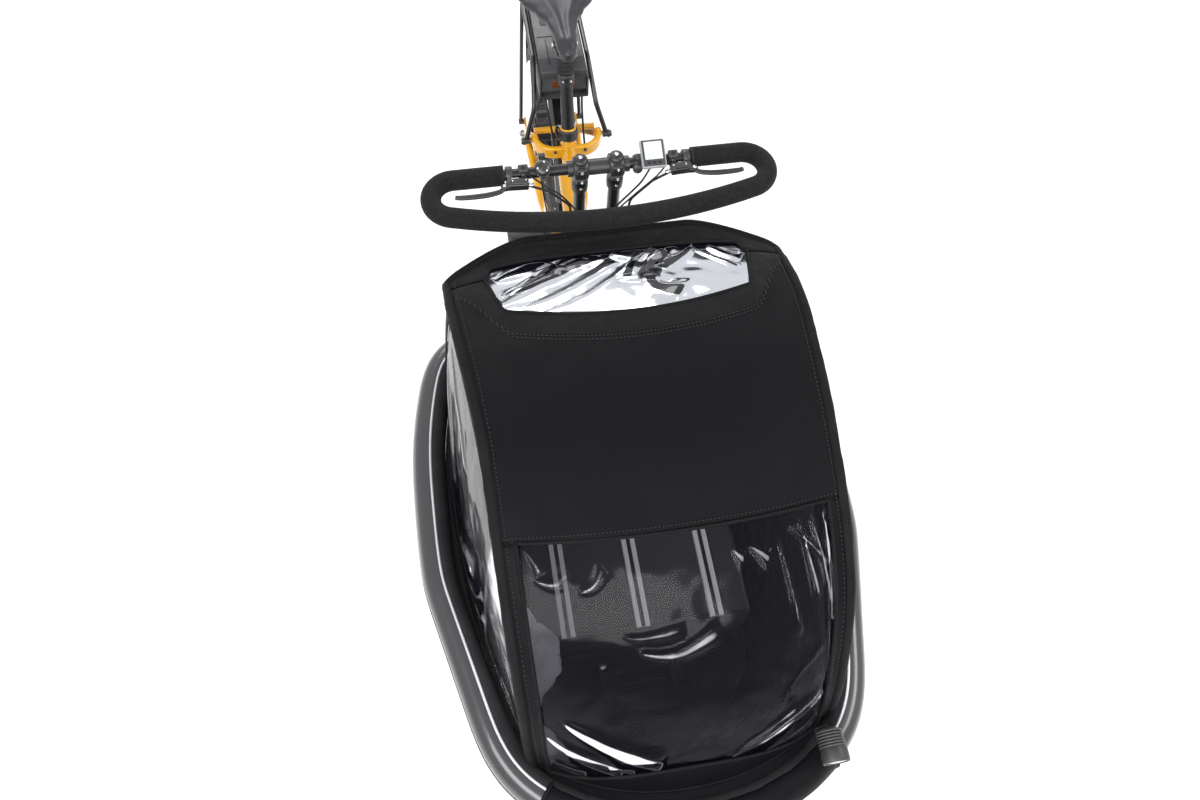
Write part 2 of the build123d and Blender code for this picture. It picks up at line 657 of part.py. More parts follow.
for index, word in ((-1, "right"), (0, "middle"), (1, "left")):
    with BuildPart() as rail:
        with Locations((index * rail_spacing, (bench_front_y + rail_back_y) / 2,
                        bench_z + running_gap + rail_height / 2)):
            Box(rail_width, rail_back_y - bench_front_y, rail_height)
        with Locations((index * rail_spacing, (bench_front_y + rail_back_y) / 2,
                        bench_z + running_gap + rail_height / 2 + 1)):
            Box(rail_width - 5, rail_back_y - bench_front_y + 2, rail_height - 4, mode=Mode.SUBTRACT)
        with Locations((index * rail_spacing, (bench_front_y + rail_back_y) / 2,
                        bench_z + running_gap + rail_height)):
            Box(rail_slot, rail_back_y - bench_front_y + 2, 6, mode=Mode.SUBTRACT)
    save(rail.part, f"bench_rail_{word}")


# ================================================================ canopy
canopy_low_z = tub_rim_z + tub_flange + running_gap
base_outline = [(0, -1049), (120, -1036), (205, -990), (266, -925), (304, -830), (350, -650),
                (373, -420), (350, -180), (318, -115), (250, -97), (0, -97)]
top_outline = [(0, -1075), (120, -1062), (215, -1030), (262, -960), (283, -860), (289, -680),
               (303, -420), (324, -190), (328, -124), (205, 0), (0, 0)]
roof_profile = [(-20, tub_rim_z), (-28, 905), (-270, 990), (-480, 1035), (-680, 985), (-840, 870),
                (-945, 720), (-1010, 600), (-1060, tub_rim_z)]


def canopy_block(inset):
    """The canopy as a solid, every face drawn in by inset except the open bottom."""
    sections = []
    for z, outline in ((canopy_low_z, base_outline), (canopy_top_z + 4, top_outline)):
        with BuildSketch(Plane.XY.offset(z)) as level:
            with BuildLine():
                Polyline(*outline)
                mirror(about=Plane.YZ)
            make_face()
            if inset:
                offset(amount=-inset, kind=Kind.INTERSECTION)
        sections.append(level.sketch)
    with BuildPart() as block:
        loft(sections, ruled=True)
        with BuildSketch(side_plane(-400)) as profile:
            with BuildLine():
                Polyline(*roof_profile, close=True)
            make_face()
            if inset:
                offset(amount=-inset, kind=Kind.INTERSECTION)
        extrude(profile.sketch, amount=800, mode=Mode.INTERSECT)
    return block.part


def window_cutter(name, shrink=0.0):
    """The block that cuts one window, smaller all round by shrink."""
    with BuildPart() as cutter:
        if name == "roof_window":
            with BuildSketch(Plane.XY.offset(canopy_top_z - 230)) as plan:
                with BuildLine():
                    Polyline((0, -108), (245, -112), (252, -170), (232, -245), (120, -285), (0, -297))
                    mirror(about=Plane.YZ)
                make_face()
                offset(amount=-shrink, kind=Kind.INTERSECTION)
            extrude(plan.sketch, amount=300)
        elif name == "front_window":
            with BuildSketch(Plane.XZ.offset(600)) as plan:
                with BuildLine():
                    Polyline((0, 606), (238, 622), (236, 915), (0, 935))
                    mirror(about=Plane.YZ)
                make_face()
                offset(amount=-shrink, kind=Kind.INTERSECTION)
            extrude(plan.sketch, amount=520)
        else:
            side = -1 if name.endswith("right") else 1
            with BuildSketch(side_plane(side * 240)) as plan:
                with BuildLine():
                    Polyline((-175, 636), (-165, 850), (-300, 925), (-480, 965), (-640, 925),
                             (-780, 830), (-875, 690), (-900, 636), close=True)
                make_face()
                offset(amount=-shrink, kind=Kind.INTERSECTION)
            extrude(plan.sketch, amount=side * 200)
    return cutter.part


window_names = ("roof_window", "front_window", "side_window_right", "side_window_left")
with BuildPart() as canopy_shell:
    add(canopy_block(0))
    add(canopy_block(canopy_wall), mode=Mode.SUBTRACT)
    for name in window_names:
        add(window_cutter(name), mode=Mode.SUBTRACT)
save(canopy_shell.part, "canopy_shell")

film_outer = canopy_block(film_depth)
film_inner = canopy_block(film_depth + film_thickness)
for name in window_names:
    with BuildPart() as film:
        add(film_outer)
        add(film_inner, mode=Mode.SUBTRACT)
        add(window_cutter(name, running_gap), mode=Mode.INTERSECT)
    save(film.part, name)

for word, foot, knee, top in (("middle", (348, -470), (300, -475, 900), (262, -480, 1004)),
                              ("rear", (326, -188), (305, -168, 850), (240, -150, 868))):
    with BuildPart() as hoop:
        low = canopy_low_z + 4 * running_gap
        tube_along([(-foot[0], foot[1], low), (-knee[0], knee[1], knee[2]), (-top[0], top[1], top[2]),
                    top, knee, (foot[0], foot[1], low)], hoop_radius, bends=[30, 30, 30, 30])
    save(hoop.part, f"canopy_hoop_{word}")

with BuildPart() as headlamp:
    rod((lamp_x, lamp_y + lamp_length / 2, lamp_z), (lamp_x, lamp_y - lamp_length / 2, lamp_z), lamp_radius)
    rod((lamp_x, lamp_y + 2, bumper_bottom_z + bumper_height + running_gap), (lamp_x, lamp_y + 2, lamp_z), 7)
save(headlamp.part, "headlamp")


# ================================================================ handlebar
clamp_half_z = handlebar_z - crown_high_z
with BuildPart() as handlebar_posts:
    with Locations((0, handlebar_y, crown_high_z + running_gap + 4)):
        Box(2 * post_half_spacing + 34, 34, 8)
    for side in (-1, 1):
        rod((side * post_half_spacing, handlebar_y, crown_high_z + running_gap),
            (side * post_half_spacing, handlebar_y, handlebar_z - 24), post_radius)
save(handlebar_posts.part, "handlebar_posts")

for side, word in ((-1, "right"), (1, "left")):
    with BuildPart() as clamp:
        x = side * post_half_spacing
        rod((x - 15, handlebar_y, handlebar_z), (x + 15, handlebar_y, handlebar_z), 24)
        rod((x, handlebar_y, handlebar_z - 52), (x, handlebar_y, handlebar_z), 17)
        rod((x, handlebar_y, handlebar_z - 60), (x, handlebar_y, handlebar_z - 24 + running_gap),
            post_radius + running_gap, mode=Mode.SUBTRACT)
        rod((x - 20, handlebar_y, handlebar_z), (x + 20, handlebar_y, handlebar_z),
            bar_centre_radius + running_gap, mode=Mode.SUBTRACT)
    save(clamp.part, f"handlebar_clamp_{word}")

bar_end_x = handlebar_half - handlebar_depth / 2
bar_front_y = handlebar_y - handlebar_depth
bar_middle_y = (handlebar_y + bar_front_y) / 2


def bar_run(start_x):
    """The left half of the handlebar's line, from the rear bar at start_x to the front."""
    Line((start_x, handlebar_y), (bar_end_x, handlebar_y))
    reach = (bar_end_x**2 + handlebar_bow**2) / (2 * handlebar_bow)
    bow_radius = reach + handlebar_depth / 2
    bow_y = bar_middle_y + reach - handlebar_bow
    lean = asin(bar_end_x / reach)
    touch = (bow_radius * sin(lean), bow_y - bow_radius * cos(lean))
    halfway = (bow_radius * sin(lean / 2), bow_y - bow_radius * cos(lean / 2))
    ThreePointArc((bar_end_x, handlebar_y), (handlebar_half, bar_middle_y), touch)
    ThreePointArc(touch, halfway, (0, bar_front_y - handlebar_bow))


with BuildPart() as handlebar:
    with BuildLine(Plane.XY.offset(handlebar_z)) as loop:
        bar_run(0)
    with BuildSketch(Plane(origin=(0, handlebar_y, handlebar_z), z_dir=(1, 0, 0))) as section:
        Circle(bar_radius)
    sweep(section.sketch, path=loop.wire())
    mirror(about=Plane.YZ)
    rod((-62, handlebar_y, handlebar_z), (62, handlebar_y, handlebar_z), bar_centre_radius)
save(handlebar.part, "handlebar")

with BuildPart() as foam_grip:
    with BuildLine(Plane.XY.offset(handlebar_z)) as loop:
        bar_run(foam_half_gap)
    with BuildSketch(Plane(origin=(foam_half_gap, handlebar_y, handlebar_z), z_dir=(1, 0, 0))) as section:
        Circle(foam_radius)
        Circle(bar_radius + running_gap, mode=Mode.SUBTRACT)
    sweep(section.sketch, path=loop.wire())
    mirror(about=Plane.YZ)
save(foam_grip.part, "foam_grip")

for side, word in ((-1, "right"), (1, "left")):
    with BuildPart() as lever:
        x = side * (foam_half_gap - 12)
        rod((x - 7, handlebar_y, handlebar_z), (x + 7, handlebar_y, handlebar_z), 17)
        with Locations((side * 164, handlebar_y - 26, handlebar_z)):
            Box(44, 24, 18)
        with Locations((side * 160, handlebar_y - 15, handlebar_z)):
            Box(14, 10, 14)
        tube_along([(side * 186, handlebar_y - 30, handlebar_z), (side * 206, handlebar_y - 44, handlebar_z),
                    (side * 288, handlebar_y - 48, handlebar_z)], 4.5, bends=[14])
        rod((x - 30, handlebar_y, handlebar_z), (x + 30, handlebar_y, handlebar_z),
            bar_radius + running_gap, mode=Mode.SUBTRACT)
    save(lever.part, f"brake_lever_{word}")

with BuildPart() as bell:
    rod((-118, handlebar_y, handlebar_z), (-106, handlebar_y, handlebar_z), 16)
    rod((-112, handlebar_y, handlebar_z + 10), (-112, handlebar_y, handlebar_z + 20), 5)
    rod((-112, handlebar_y, handlebar_z + 18), (-112, handlebar_y, handlebar_z + 34), 17)
    rod((-130, handlebar_y, handlebar_z), (-100, handlebar_y, handlebar_z),
        bar_radius + running_gap, mode=Mode.SUBTRACT)
save(bell.part, "bell")

with BuildPart() as display:
    rod((72, handlebar_y, handlebar_z), (84, handlebar_y, handlebar_z), 16)
    with Locations(Location((104, handlebar_y - 6, handlebar_z + 27), (-28, 0, 0))):
        Box(64, 50, 14)
    with Locations((78, handlebar_y - 4, handlebar_z + 18)):
        Box(12, 14, 12)
    rod((66, handlebar_y, handlebar_z), (90, handlebar_y, handlebar_z),
        bar_radius + running_gap, mode=Mode.SUBTRACT)
save(display.part, "display")

for side, word in ((-1, "right"), (1, "left")):
    with BuildPart() as cable:
        tube_along(
            [(side * 141, handlebar_y - 30, handlebar_z - 3), (side * 104, handlebar_y - 40, handlebar_z - 12),
             (side * 62, handlebar_y - 42, handlebar_z - 60), (side * 50, handlebar_y - 36, handlebar_z - 200),
             (side * 46, handlebar_y - 32, crown_high_z + running_gap)], 2.5, bends=[20, 30, 60])
    save(cable.part, f"brake_cable_{word}")
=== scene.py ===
import json
import math
from collections import namedtuple

import bmesh
import bpy
import numpy as np
from mathutils import Matrix, Vector, geometry, noise


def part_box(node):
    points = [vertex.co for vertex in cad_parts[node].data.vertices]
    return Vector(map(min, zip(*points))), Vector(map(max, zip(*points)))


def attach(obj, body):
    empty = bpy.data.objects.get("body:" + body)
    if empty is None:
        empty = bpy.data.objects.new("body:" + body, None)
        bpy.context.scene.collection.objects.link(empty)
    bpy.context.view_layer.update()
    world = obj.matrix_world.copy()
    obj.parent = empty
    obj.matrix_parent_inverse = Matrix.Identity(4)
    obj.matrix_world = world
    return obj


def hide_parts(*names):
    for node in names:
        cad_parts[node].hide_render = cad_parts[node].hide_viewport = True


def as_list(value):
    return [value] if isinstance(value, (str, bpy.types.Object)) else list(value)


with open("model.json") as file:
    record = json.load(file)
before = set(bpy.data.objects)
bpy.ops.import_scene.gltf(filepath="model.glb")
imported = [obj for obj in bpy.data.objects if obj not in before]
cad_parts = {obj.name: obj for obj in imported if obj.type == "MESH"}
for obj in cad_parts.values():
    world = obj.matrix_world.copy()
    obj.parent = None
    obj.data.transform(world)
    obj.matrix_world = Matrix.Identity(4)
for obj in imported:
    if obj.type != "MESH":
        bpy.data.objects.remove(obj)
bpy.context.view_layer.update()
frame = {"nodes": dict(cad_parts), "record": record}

PI = math.pi
ACROSS, UP = (1, 0, 0), (0, 0, 1)
SEAT_LEAN = Vector((0, math.cos(math.radians(71)), math.sin(math.radians(71))))
FLOOR_HALF = 40.0
Box = namedtuple("Box", "low high mid")


def V(x, y, z):
    return Vector((x, y, z))


def node_box(name):
    low, high = (Vector(corner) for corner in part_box(name))
    return Box(low, high, (low + high) / 2)


def mm(*pairs):
    """A turned outline of (radius, height) pairs in millimetres; no radius is quite 0, so no points meet."""
    return [(max(radius, 0.01) / 1000, height / 1000) for radius, height in pairs]


def circle(count, radius=1.0, start=0.0):
    """(cos, sin) pairs evenly round a circle."""
    turns = [start + 2 * PI * k / count for k in range(count)]
    return [(radius * math.cos(turn), radius * math.sin(turn)) for turn in turns]


# ------------------------------------------------------------------ materials
def new_material(name):
    mat = bpy.data.materials.new(name)
    mat.use_nodes = True
    return mat, mat.node_tree, mat.node_tree.nodes["Principled BSDF"]


def add_node(tree, kind, values=(), **settings):
    """A shader node with its sockets set, or linked to another node's output."""
    node = tree.nodes.new("ShaderNode" + kind)
    for key, value in settings.items():
        setattr(node, key, value)
    set_sockets(tree, node, dict(values))
    return node


def set_sockets(tree, node, values):
    for socket, value in values.items():
        if isinstance(value, bpy.types.NodeSocket):
            tree.links.new(value, node.inputs[socket])
        else:
            node.inputs[socket].default_value = value


def finish(name, base, rough=0.5, metal=0.0, coat=0.0, sheen=0.0, vary=0.10, vary_scale=14.0,
           bump=0.25, bump_scale=700.0, depth=0.0002, weave=0.0, wear=0.0, spec=0.5, clear=0.0):
    """A procedural surface: mottled colour and roughness, fine bump, weave and worn edges."""
    mat, tree, shade = new_material(name)
    place = add_node(tree, "TexCoord").outputs["Object"]

    def cloud(scale, detail):
        return add_node(tree, "TexNoise", {"Scale": scale, "Detail": detail, "Vector": place}).outputs["Fac"]

    def span(source, low, high, start=0.3, end=0.7):
        return add_node(tree, "MapRange", {"From Min": start, "From Max": end, "To Min": low, "To Max": high,
                                           "Value": source}).outputs["Result"]

    def blend(share, first, second):
        mix = add_node(tree, "Mix", {"Factor": share}, data_type="RGBA")
        for socket, value in (("A", first), ("B", second)):
            slot = [s for s in mix.inputs if s.name == socket and s.type == "RGBA"][0]
            if isinstance(value, tuple):
                slot.default_value = (*value, 1)
            else:
                tree.links.new(value, slot)
        return [s for s in mix.outputs if s.type == "RGBA"][0]

    dark = tuple(c * (1 - vary) for c in base)
    light = tuple(min(1, c * (1 + vary)) for c in base)
    colour = blend(span(cloud(vary_scale, 6), 0, 1), dark, light)
    if wear:
        edge = add_node(tree, "NewGeometry").outputs["Pointiness"]
        worn = tuple(min(1, c * 0.6 + 0.16) for c in base)
        colour = blend(span(edge, 0, wear, 0.52, 0.60), colour, worn)
    height = cloud(bump_scale, 3)
    if weave:
        for turn in ((0, 0, 0), (PI / 4, 0, PI / 2)):
            spun = add_node(tree, "Mapping", {"Rotation": turn, "Vector": place}).outputs["Vector"]
            wave = add_node(tree, "TexWave", {"Scale": weave, "Distortion": 0.6, "Vector": spun})
            height = add_node(tree, "Math", {0: height, 1: wave.outputs["Fac"]},
                              operation="MAXIMUM").outputs["Value"]
    relief = add_node(tree, "Bump", {"Strength": bump, "Distance": depth, "Height": height})
    patchy = span(cloud(vary_scale * 2.5, 4), max(0.02, rough * 0.85), min(1, rough * 1.15))
    set_sockets(tree, shade, {
        "Base Color": colour, "Roughness": patchy, "Normal": relief.outputs["Normal"], "Metallic": metal,
        "Coat Weight": coat, "Coat Roughness": 0.07, "Sheen Weight": sheen, "Sheen Roughness": 0.5,
        "Specular IOR Level": spec})
    if clear:
        set_sockets(tree, shade, {"Transmission Weight": clear, "IOR": 1.45})
    return mat


def film_finish(name, stretch, mottle, crisp, bright, veil, coat, painted_glare_level=0.72):
    """Clear film: a thin dark veil, with painted glare where the mesh's glare value and noise say so; there the
    film is painted pale, more opaque and metallic, so it mirrors the white world, a real reflection in a
    painted place.
    """
    mat, tree, shade = new_material(name)
    spun = add_node(tree, "Mapping", {"Scale": stretch, "Vector": add_node(tree, "TexCoord").outputs["Object"]})
    glare_noise = add_node(tree, "TexNoise", {"Scale": 1.0, "Detail": 4, "Distortion": 1.4,
                                         "Vector": spun.outputs["Vector"]})
    value = add_node(tree, "Attribute", attribute_name="glare")
    total = add_node(tree, "Math", {0: glare_noise.outputs["Fac"], 1: mottle, 2: value.outputs["Fac"]},
                     operation="MULTIPLY_ADD").outputs[0]
    middle = 0.5 + mottle / 2

    def ramp(low, high):
        return add_node(tree, "MapRange", {"From Min": middle - crisp, "From Max": middle + crisp,
                                           "To Min": low, "To Max": high, "Value": total}).outputs["Result"]
    # bright holds the painted glare's pale colour, a painted reflection; the dark tones are the film's own.
    channels = zip(("Red", "Green", "Blue"), (0.004, 0.004, 0.010), bright)
    colour = add_node(tree, "CombineColor", {channel: ramp(dark, light) for channel, dark, light in channels})
    # Opacity and metal rise with the painted glare too, so the glare patch mirrors the white world.
    set_sockets(tree, shade, {
        "Base Color": colour.outputs["Color"], "Alpha": ramp(veil, max(veil, painted_glare_level)), "Metallic": ramp(0.0, 1.0),
        "Roughness": 0.12, "Specular IOR Level": 0.35, "Coat Weight": coat})
    return mat


YELLOW = finish("yellow_enamel", (1.0, 0.47, 0.006), 0.22, coat=0.7, vary=0.03, bump=0.05,
                bump_scale=300, wear=0.10, spec=0.35)
ENAMEL = finish("black_enamel", (0.012, 0.012, 0.013), 0.34, coat=0.35, vary=0.15, bump=0.12, wear=0.25)
SATIN = finish("black_anodised", (0.016, 0.016, 0.018), 0.38, metal=0.3, vary=0.15, bump=0.2, wear=0.35)
GLOSS = finish("gloss_black_moulding", (0.010, 0.010, 0.012), 0.16, coat=1.0, vary=0.1, bump=0.04,
               bump_scale=90)
PLASTIC = finish("black_moulding", (0.020, 0.020, 0.022), 0.5, vary=0.15, bump=0.5, bump_scale=1200, wear=0.3)
GREY_PLASTIC = finish("dark_grey_moulding", (0.008, 0.0085, 0.011), 0.50, vary=0.1, bump=0.6,
                      bump_scale=900, depth=0.0003, wear=0.3, spec=0.3)
CASE = finish("battery_case", (0.034, 0.036, 0.042), 0.36, vary=0.08, bump=0.35, bump_scale=1500, wear=0.25)
TUB = finish("rotomoulded_tub", (0.0065, 0.007, 0.009), 0.60, vary=0.12, bump=0.08, bump_scale=420,
             depth=0.0003, wear=0.2, spec=0.2)
FOAM = finish("grip_foam", (0.009, 0.009, 0.0095), 0.86, sheen=0.04, vary=0.2, vary_scale=60, bump=0.8,
              bump_scale=1600, depth=0.0005, spec=0.2)
RUBBER = finish("rubber", (0.016, 0.016, 0.016), 0.72, vary=0.2, bump=0.5, bump_scale=800, spec=0.35)
TYRE = finish("tyre_rubber", (0.020, 0.020, 0.020), 0.78, vary=0.25, vary_scale=40, bump=0.7,
              bump_scale=600, depth=0.0005, spec=0.3)
SADDLE = finish("saddle_cover", (0.018, 0.019, 0.023), 0.40, vary=0.12, bump=0.5, bump_scale=520,
                depth=0.0005, spec=0.5)
FABRIC = finish("coated_fabric", (0.0040, 0.0040, 0.0050), 0.58, vary=0.14, vary_scale=5,
                bump=0.5, weave=260, depth=0.00035, spec=0.09)
BAND = finish("edge_fabric", (0.0085, 0.0085, 0.0095), 0.62, vary=0.15, bump=0.8, weave=230,
              depth=0.0005, spec=0.10)
SKIRT = finish("skirt_textile", (0.020, 0.020, 0.022), 0.85, vary=0.2, bump=0.9, weave=200,
               depth=0.0006, spec=0.20)
BUMPER = finish("bumper_skin", (0.022, 0.022, 0.026), 0.30, coat=0.6, vary=0.06, vary_scale=5, bump=0.3,
                bump_scale=1300, depth=0.0002, spec=0.55)
SILVER = finish("reflective_piping", (0.62, 0.63, 0.65), 0.32, metal=0.4, vary=0.08, bump=0.4, weave=300)
STITCH = finish("thread", (0.022, 0.022, 0.024), 0.7, vary=0.2, bump=0.3)
# The pale colour of the crumpled film inside the cabin is painted glare, a painted reflection; the film itself
# is partly clear.
PAINTED_GLARE_FILM = finish("crumpled_film_painted_glare", (0.62, 0.62, 0.68), 0.30, vary=0.05, bump=0.5, bump_scale=120, depth=0.001,
              clear=0.65, spec=0.6)
ALLOY = finish("brushed_alloy", (0.78, 0.79, 0.81), 0.34, metal=0.9, vary=0.06, bump=0.35,
               bump_scale=1800, wear=0.1)
BOLT = finish("bolt_steel", (0.60, 0.60, 0.61), 0.26, metal=1.0, vary=0.08, bump=0.2)
STEEL = finish("chain_steel", (0.36, 0.35, 0.34), 0.34, metal=1.0, vary=0.2, vary_scale=60, bump=0.3)
AMBER = finish("amber_lens", (0.13, 0.040, 0.008), 0.3, coat=0.6, vary=0.15, bump=0.1)
RED = finish("red_lens", (0.42, 0.012, 0.012), 0.14, coat=1.0, vary=0.08, bump=0.3, bump_scale=240)
SCREEN_CASE = finish("screen_case", (0.40, 0.41, 0.43), 0.32, vary=0.05, bump=0.3, wear=0.1)
SCREEN = finish("screen_glass", (0.66, 0.70, 0.71), 0.12, coat=0.8, vary=0.04, bump=0.02)
LENS = finish("lamp_lens", (0.86, 0.88, 0.90), 0.06, vary=0.03, bump=0.3, bump_scale=260, clear=0.6)
REFLECTOR = finish("lamp_reflector", (0.80, 0.80, 0.80), 0.12, metal=1.0, vary=0.04, bump=0.1)

# Clear films with painted glare: pale colour and metal where each mesh's glare value is high, a painted
# reflection.
ROOF_FILM = film_finish("roof_film_glare", (9, 22, 22), 0.7, 0.06, (0.78, 0.80, 0.86), 0.75, 0.5)
SIDE_FILM = film_finish("side_film_glare", (20, 9, 9), 0.30, 0.12, (0.90, 0.91, 0.93), 0.60, 0.25)
FRONT_FILM = film_finish("front_film_glare", (16, 16, 16), 0.25, 0.12, (0.86, 0.87, 0.92), 0.20, 0.0)
RAIL = finish("seat_rail", (0.95, 0.95, 0.97), 0.42, vary=0.04, bump=0.3, bump_scale=1800, spec=0.8)
# Near black for the inside of each seat rail's slot: painted shade.
RAIL_SLOT_PAINTED_SHADE = finish("seat_rail_painted_slot_shade", (0.010, 0.010, 0.012), 0.6, vary=0.1)


# ------------------------------------------------------------------ mesh building
def bend(a, b, c, d, t):
    """The point at share t from b to c of a smooth line through a, b, c and d."""
    return 0.5 * (2 * b + (c - a) * t + (2 * a - 5 * b + 4 * c - d) * t * t
                  + (3 * b - a - 3 * c + d) * t ** 3)


def curve_through(points, steps=8):
    """Points along a smooth line through the given points."""
    pts = [Vector(p) for p in points]
    last = len(pts) - 1
    out = []
    for i in range(last):
        near = [pts[min(max(i + k, 0), last)] for k in (-1, 0, 1, 2)]
        out += [bend(*near, k / steps) for k in range(steps)]
    return out + [pts[-1]]


def along(points, t):
    """The point at share t of a list of points, smoothly."""
    last = len(points) - 1
    place = min(max(t, 0), 1) * last
    i = min(int(place), last - 1)
    return bend(*(Vector(points[min(max(i + k, 0), last)]) for k in (-1, 0, 1, 2)), place - i)


def quads(rows, columns, wrap=False, close=False):
    """Faces between rows of points; wrap joins each row's two ends, close joins the last row to the first."""
    return [(j * columns + i, j * columns + (i + 1) % columns,
             (j + 1) % rows * columns + (i + 1) % columns, (j + 1) % rows * columns + i)
            for j in range(rows if close else rows - 1) for i in range(columns if wrap else columns - 1)]


class Piece:
    """One visible object, gathered from runs of mesh, each with its own material."""

    def __init__(self, name, body, slot, replaces=()):
        self.name, self.body, self.slot, self.replaces = name, body, slot, replaces
        self.verts, self.faces, self.index, self.smooth, self.mats = [], [], [], [], []

    def add(self, verts, faces, mat, smooth=True):
        if mat not in self.mats:
            self.mats.append(mat)
        start = len(self.verts)
        self.verts += [Vector(v) for v in verts]
        self.faces += [[start + i for i in face] for face in faces]
        self.index += [self.mats.index(mat)] * len(faces)
        self.smooth += [smooth] * len(faces)
        return self

    def grid(self, point, nu, nv, mat, around=False):
        """A sheet of point(u, v) for u and v from 0 to 1; around joins its two u ends."""
        columns = nu if around else nu + 1
        verts = [point(i / nu, j / nv) for j in range(nv + 1) for i in range(columns)]
        return self.add(verts, quads(nv + 1, columns, wrap=around), mat)

    def tube(self, path, radius, mat, sides=14, closed=False, flat=1.0, up=None):
        """A round or flattened bar along path; radius is a number or a list."""
        count = len(path)
        path = [Vector(p) for p in path]
        radii = radius if isinstance(radius, (list, tuple)) else [radius] * count
        normal = None
        verts = []
        for i in range(count):
            ahead = path[(i + 1) % count] if closed or i < count - 1 else path[i]
            behind = path[i - 1] if closed or i else path[i]
            tangent = (ahead - behind).normalized()
            if up is not None:
                normal = tangent.cross(up).normalized()
            elif normal is None:
                seed = V(0, 0, 1) if abs(tangent.z) < 0.9 else V(1, 0, 0)
                normal = tangent.cross(seed).normalized()
            else:
                normal = (normal - tangent * normal.dot(tangent)).normalized()
            side = tangent.cross(normal)
            verts += [path[i] + radii[i] * (normal * x + side * y * flat) for x, y in circle(sides)]
        faces = quads(count, sides, wrap=True, close=closed)
        if not closed:
            faces += [tuple(reversed(range(sides))), tuple((count - 1) * sides + k for k in range(sides))]
        return self.add(verts, faces, mat)

    def lathe(self, profile, at, axis, mat, sides=40):
        """profile is a list of (radius, distance along axis)."""
        spin = Vector(axis).normalized().to_track_quat("Z", "Y").to_matrix()
        verts = [Vector(at) + spin @ V(x, y, height)
                 for radius, height in profile for x, y in circle(sides, radius)]
        return self.add(verts, quads(len(profile), sides, wrap=True), mat)

    def collar(self, at, bore, outer, half, mat, edge=0.0008, chamfer=0.002):
        """The ring of a clamp round a bar that runs across, with its outer corners taken off."""
        return self.lathe([(bore, -half), (outer - edge, -half), (outer, chamfer - half),
                           (outer, half - chamfer), (outer - edge, half), (bore, half), (bore, -half)],
                          at, ACROSS, mat)

    def block(self, centre, size, mat, bevel=0.002, turn=(0, 0, 0), segments=3):
        """A box with rounded edges, turned by the angles in turn."""
        shape = bmesh.new()
        bmesh.ops.create_cube(shape, size=1)
        for v in shape.verts:
            v.co = V(v.co.x * size[0], v.co.y * size[1], v.co.z * size[2])
        bmesh.ops.bevel(shape, geom=list(shape.edges) + list(shape.verts), offset=bevel, segments=segments,
                        profile=0.5, affect="EDGES")
        spin = Matrix.Rotation(turn[2], 3, "Z") @ Matrix.Rotation(turn[1], 3, "Y") \
            @ Matrix.Rotation(turn[0], 3, "X")
        shape.verts.index_update()
        verts = [Vector(centre) + spin @ v.co for v in shape.verts]
        faces = [[v.index for v in f.verts] for f in shape.faces]
        shape.free()
        return self.add(verts, faces, mat)

    def bolt(self, at, axis, radius, mat=None, head=0.6):
        """A socket-head bolt standing on at, along axis."""
        r, h = radius, radius * head
        return self.lathe([(r * 0.98, -0.001), (r, 0), (r, h * 0.75), (r * 0.85, h), (r * 0.5, h),
                           (r * 0.45, h * 0.35), (0.00001, h * 0.35)], at, axis, mat or BOLT, 18)

    def build(self, solid=0.0, merge=0.0):
        """Make the object, give it a wall of solid metres, and hand it to its body."""
        mesh = bpy.data.meshes.new(self.name)
        mesh.from_pydata([tuple(v) for v in self.verts], [], self.faces)
        for mat in self.mats:
            mesh.materials.append(mat)
        mesh.polygons.foreach_set("material_index", self.index)
        mesh.polygons.foreach_set("use_smooth", self.smooth)
        obj = bpy.data.objects.new(self.name, mesh)
        bpy.context.scene.collection.objects.link(obj)
        if merge:
            work = bmesh.new()
            work.from_mesh(mesh)
            bmesh.ops.remove_doubles(work, verts=work.verts, dist=merge)
            bmesh.ops.recalc_face_normals(work, faces=work.faces)
            work.to_mesh(mesh)
            work.free()
        if solid:
            layer = obj.modifiers.new("thickness", "SOLIDIFY")
            layer.thickness, layer.offset = solid, 0
        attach(obj, self.body)
        if self.replaces:
            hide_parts(*self.replaces)
        return obj


def paint(name, mat):
    """Give a CAD node its material."""
    obj = frame["nodes"][name]
    if not obj.material_slots:
        obj.data.materials.append(mat)
    for slot in obj.material_slots:
        slot.material = mat


def smooth_step(t):
    t = min(max(t, 0), 1)
    return t * t * (3 - 2 * t)


# ------------------------------------------------------------------ stage, light, camera
def stage():
    mesh = bpy.data.meshes.new("floor")
    corners = [(x * FLOOR_HALF, y * FLOOR_HALF, 0) for x, y in ((-1, -1), (1, -1), (1, 1), (-1, 1))]
    mesh.from_pydata(corners, [], [(0, 1, 2, 3)])
    mesh.materials.append(pale_floor())
    obj = bpy.data.objects.new("floor", mesh)
    bpy.context.scene.collection.objects.link(obj)


def seen_ray(tree):
    """1 where the camera sees this surface directly, in a reflection or through glass."""
    path = add_node(tree, "LightPath").outputs
    share = path["Is Camera Ray"]
    for kind in ("Is Glossy Ray", "Is Transmission Ray"):
        share = add_node(tree, "Math", {0: share, 1: path[kind]}, operation="MAXIMUM").outputs["Value"]
    return share


def pale_floor():
    """A pale floor that keeps the shadow and shows near white to the camera."""
    mat, tree, shade = new_material("pale_floor")
    set_sockets(tree, shade, {"Base Color": (0.86, 0.86, 0.86, 1), "Roughness": 0.6})
    glow = add_node(tree, "Emission", {"Color": (1, 1, 1, 1), "Strength": 0.34})
    both = add_node(tree, "AddShader", {0: shade.outputs[0], 1: glow.outputs[0]})
    pick = add_node(tree, "MixShader", {0: seen_ray(tree), 1: shade.outputs[0], 2: both.outputs[0]})
    tree.links.new(pick.outputs[0], tree.nodes["Material Output"].inputs["Surface"])
    return mat


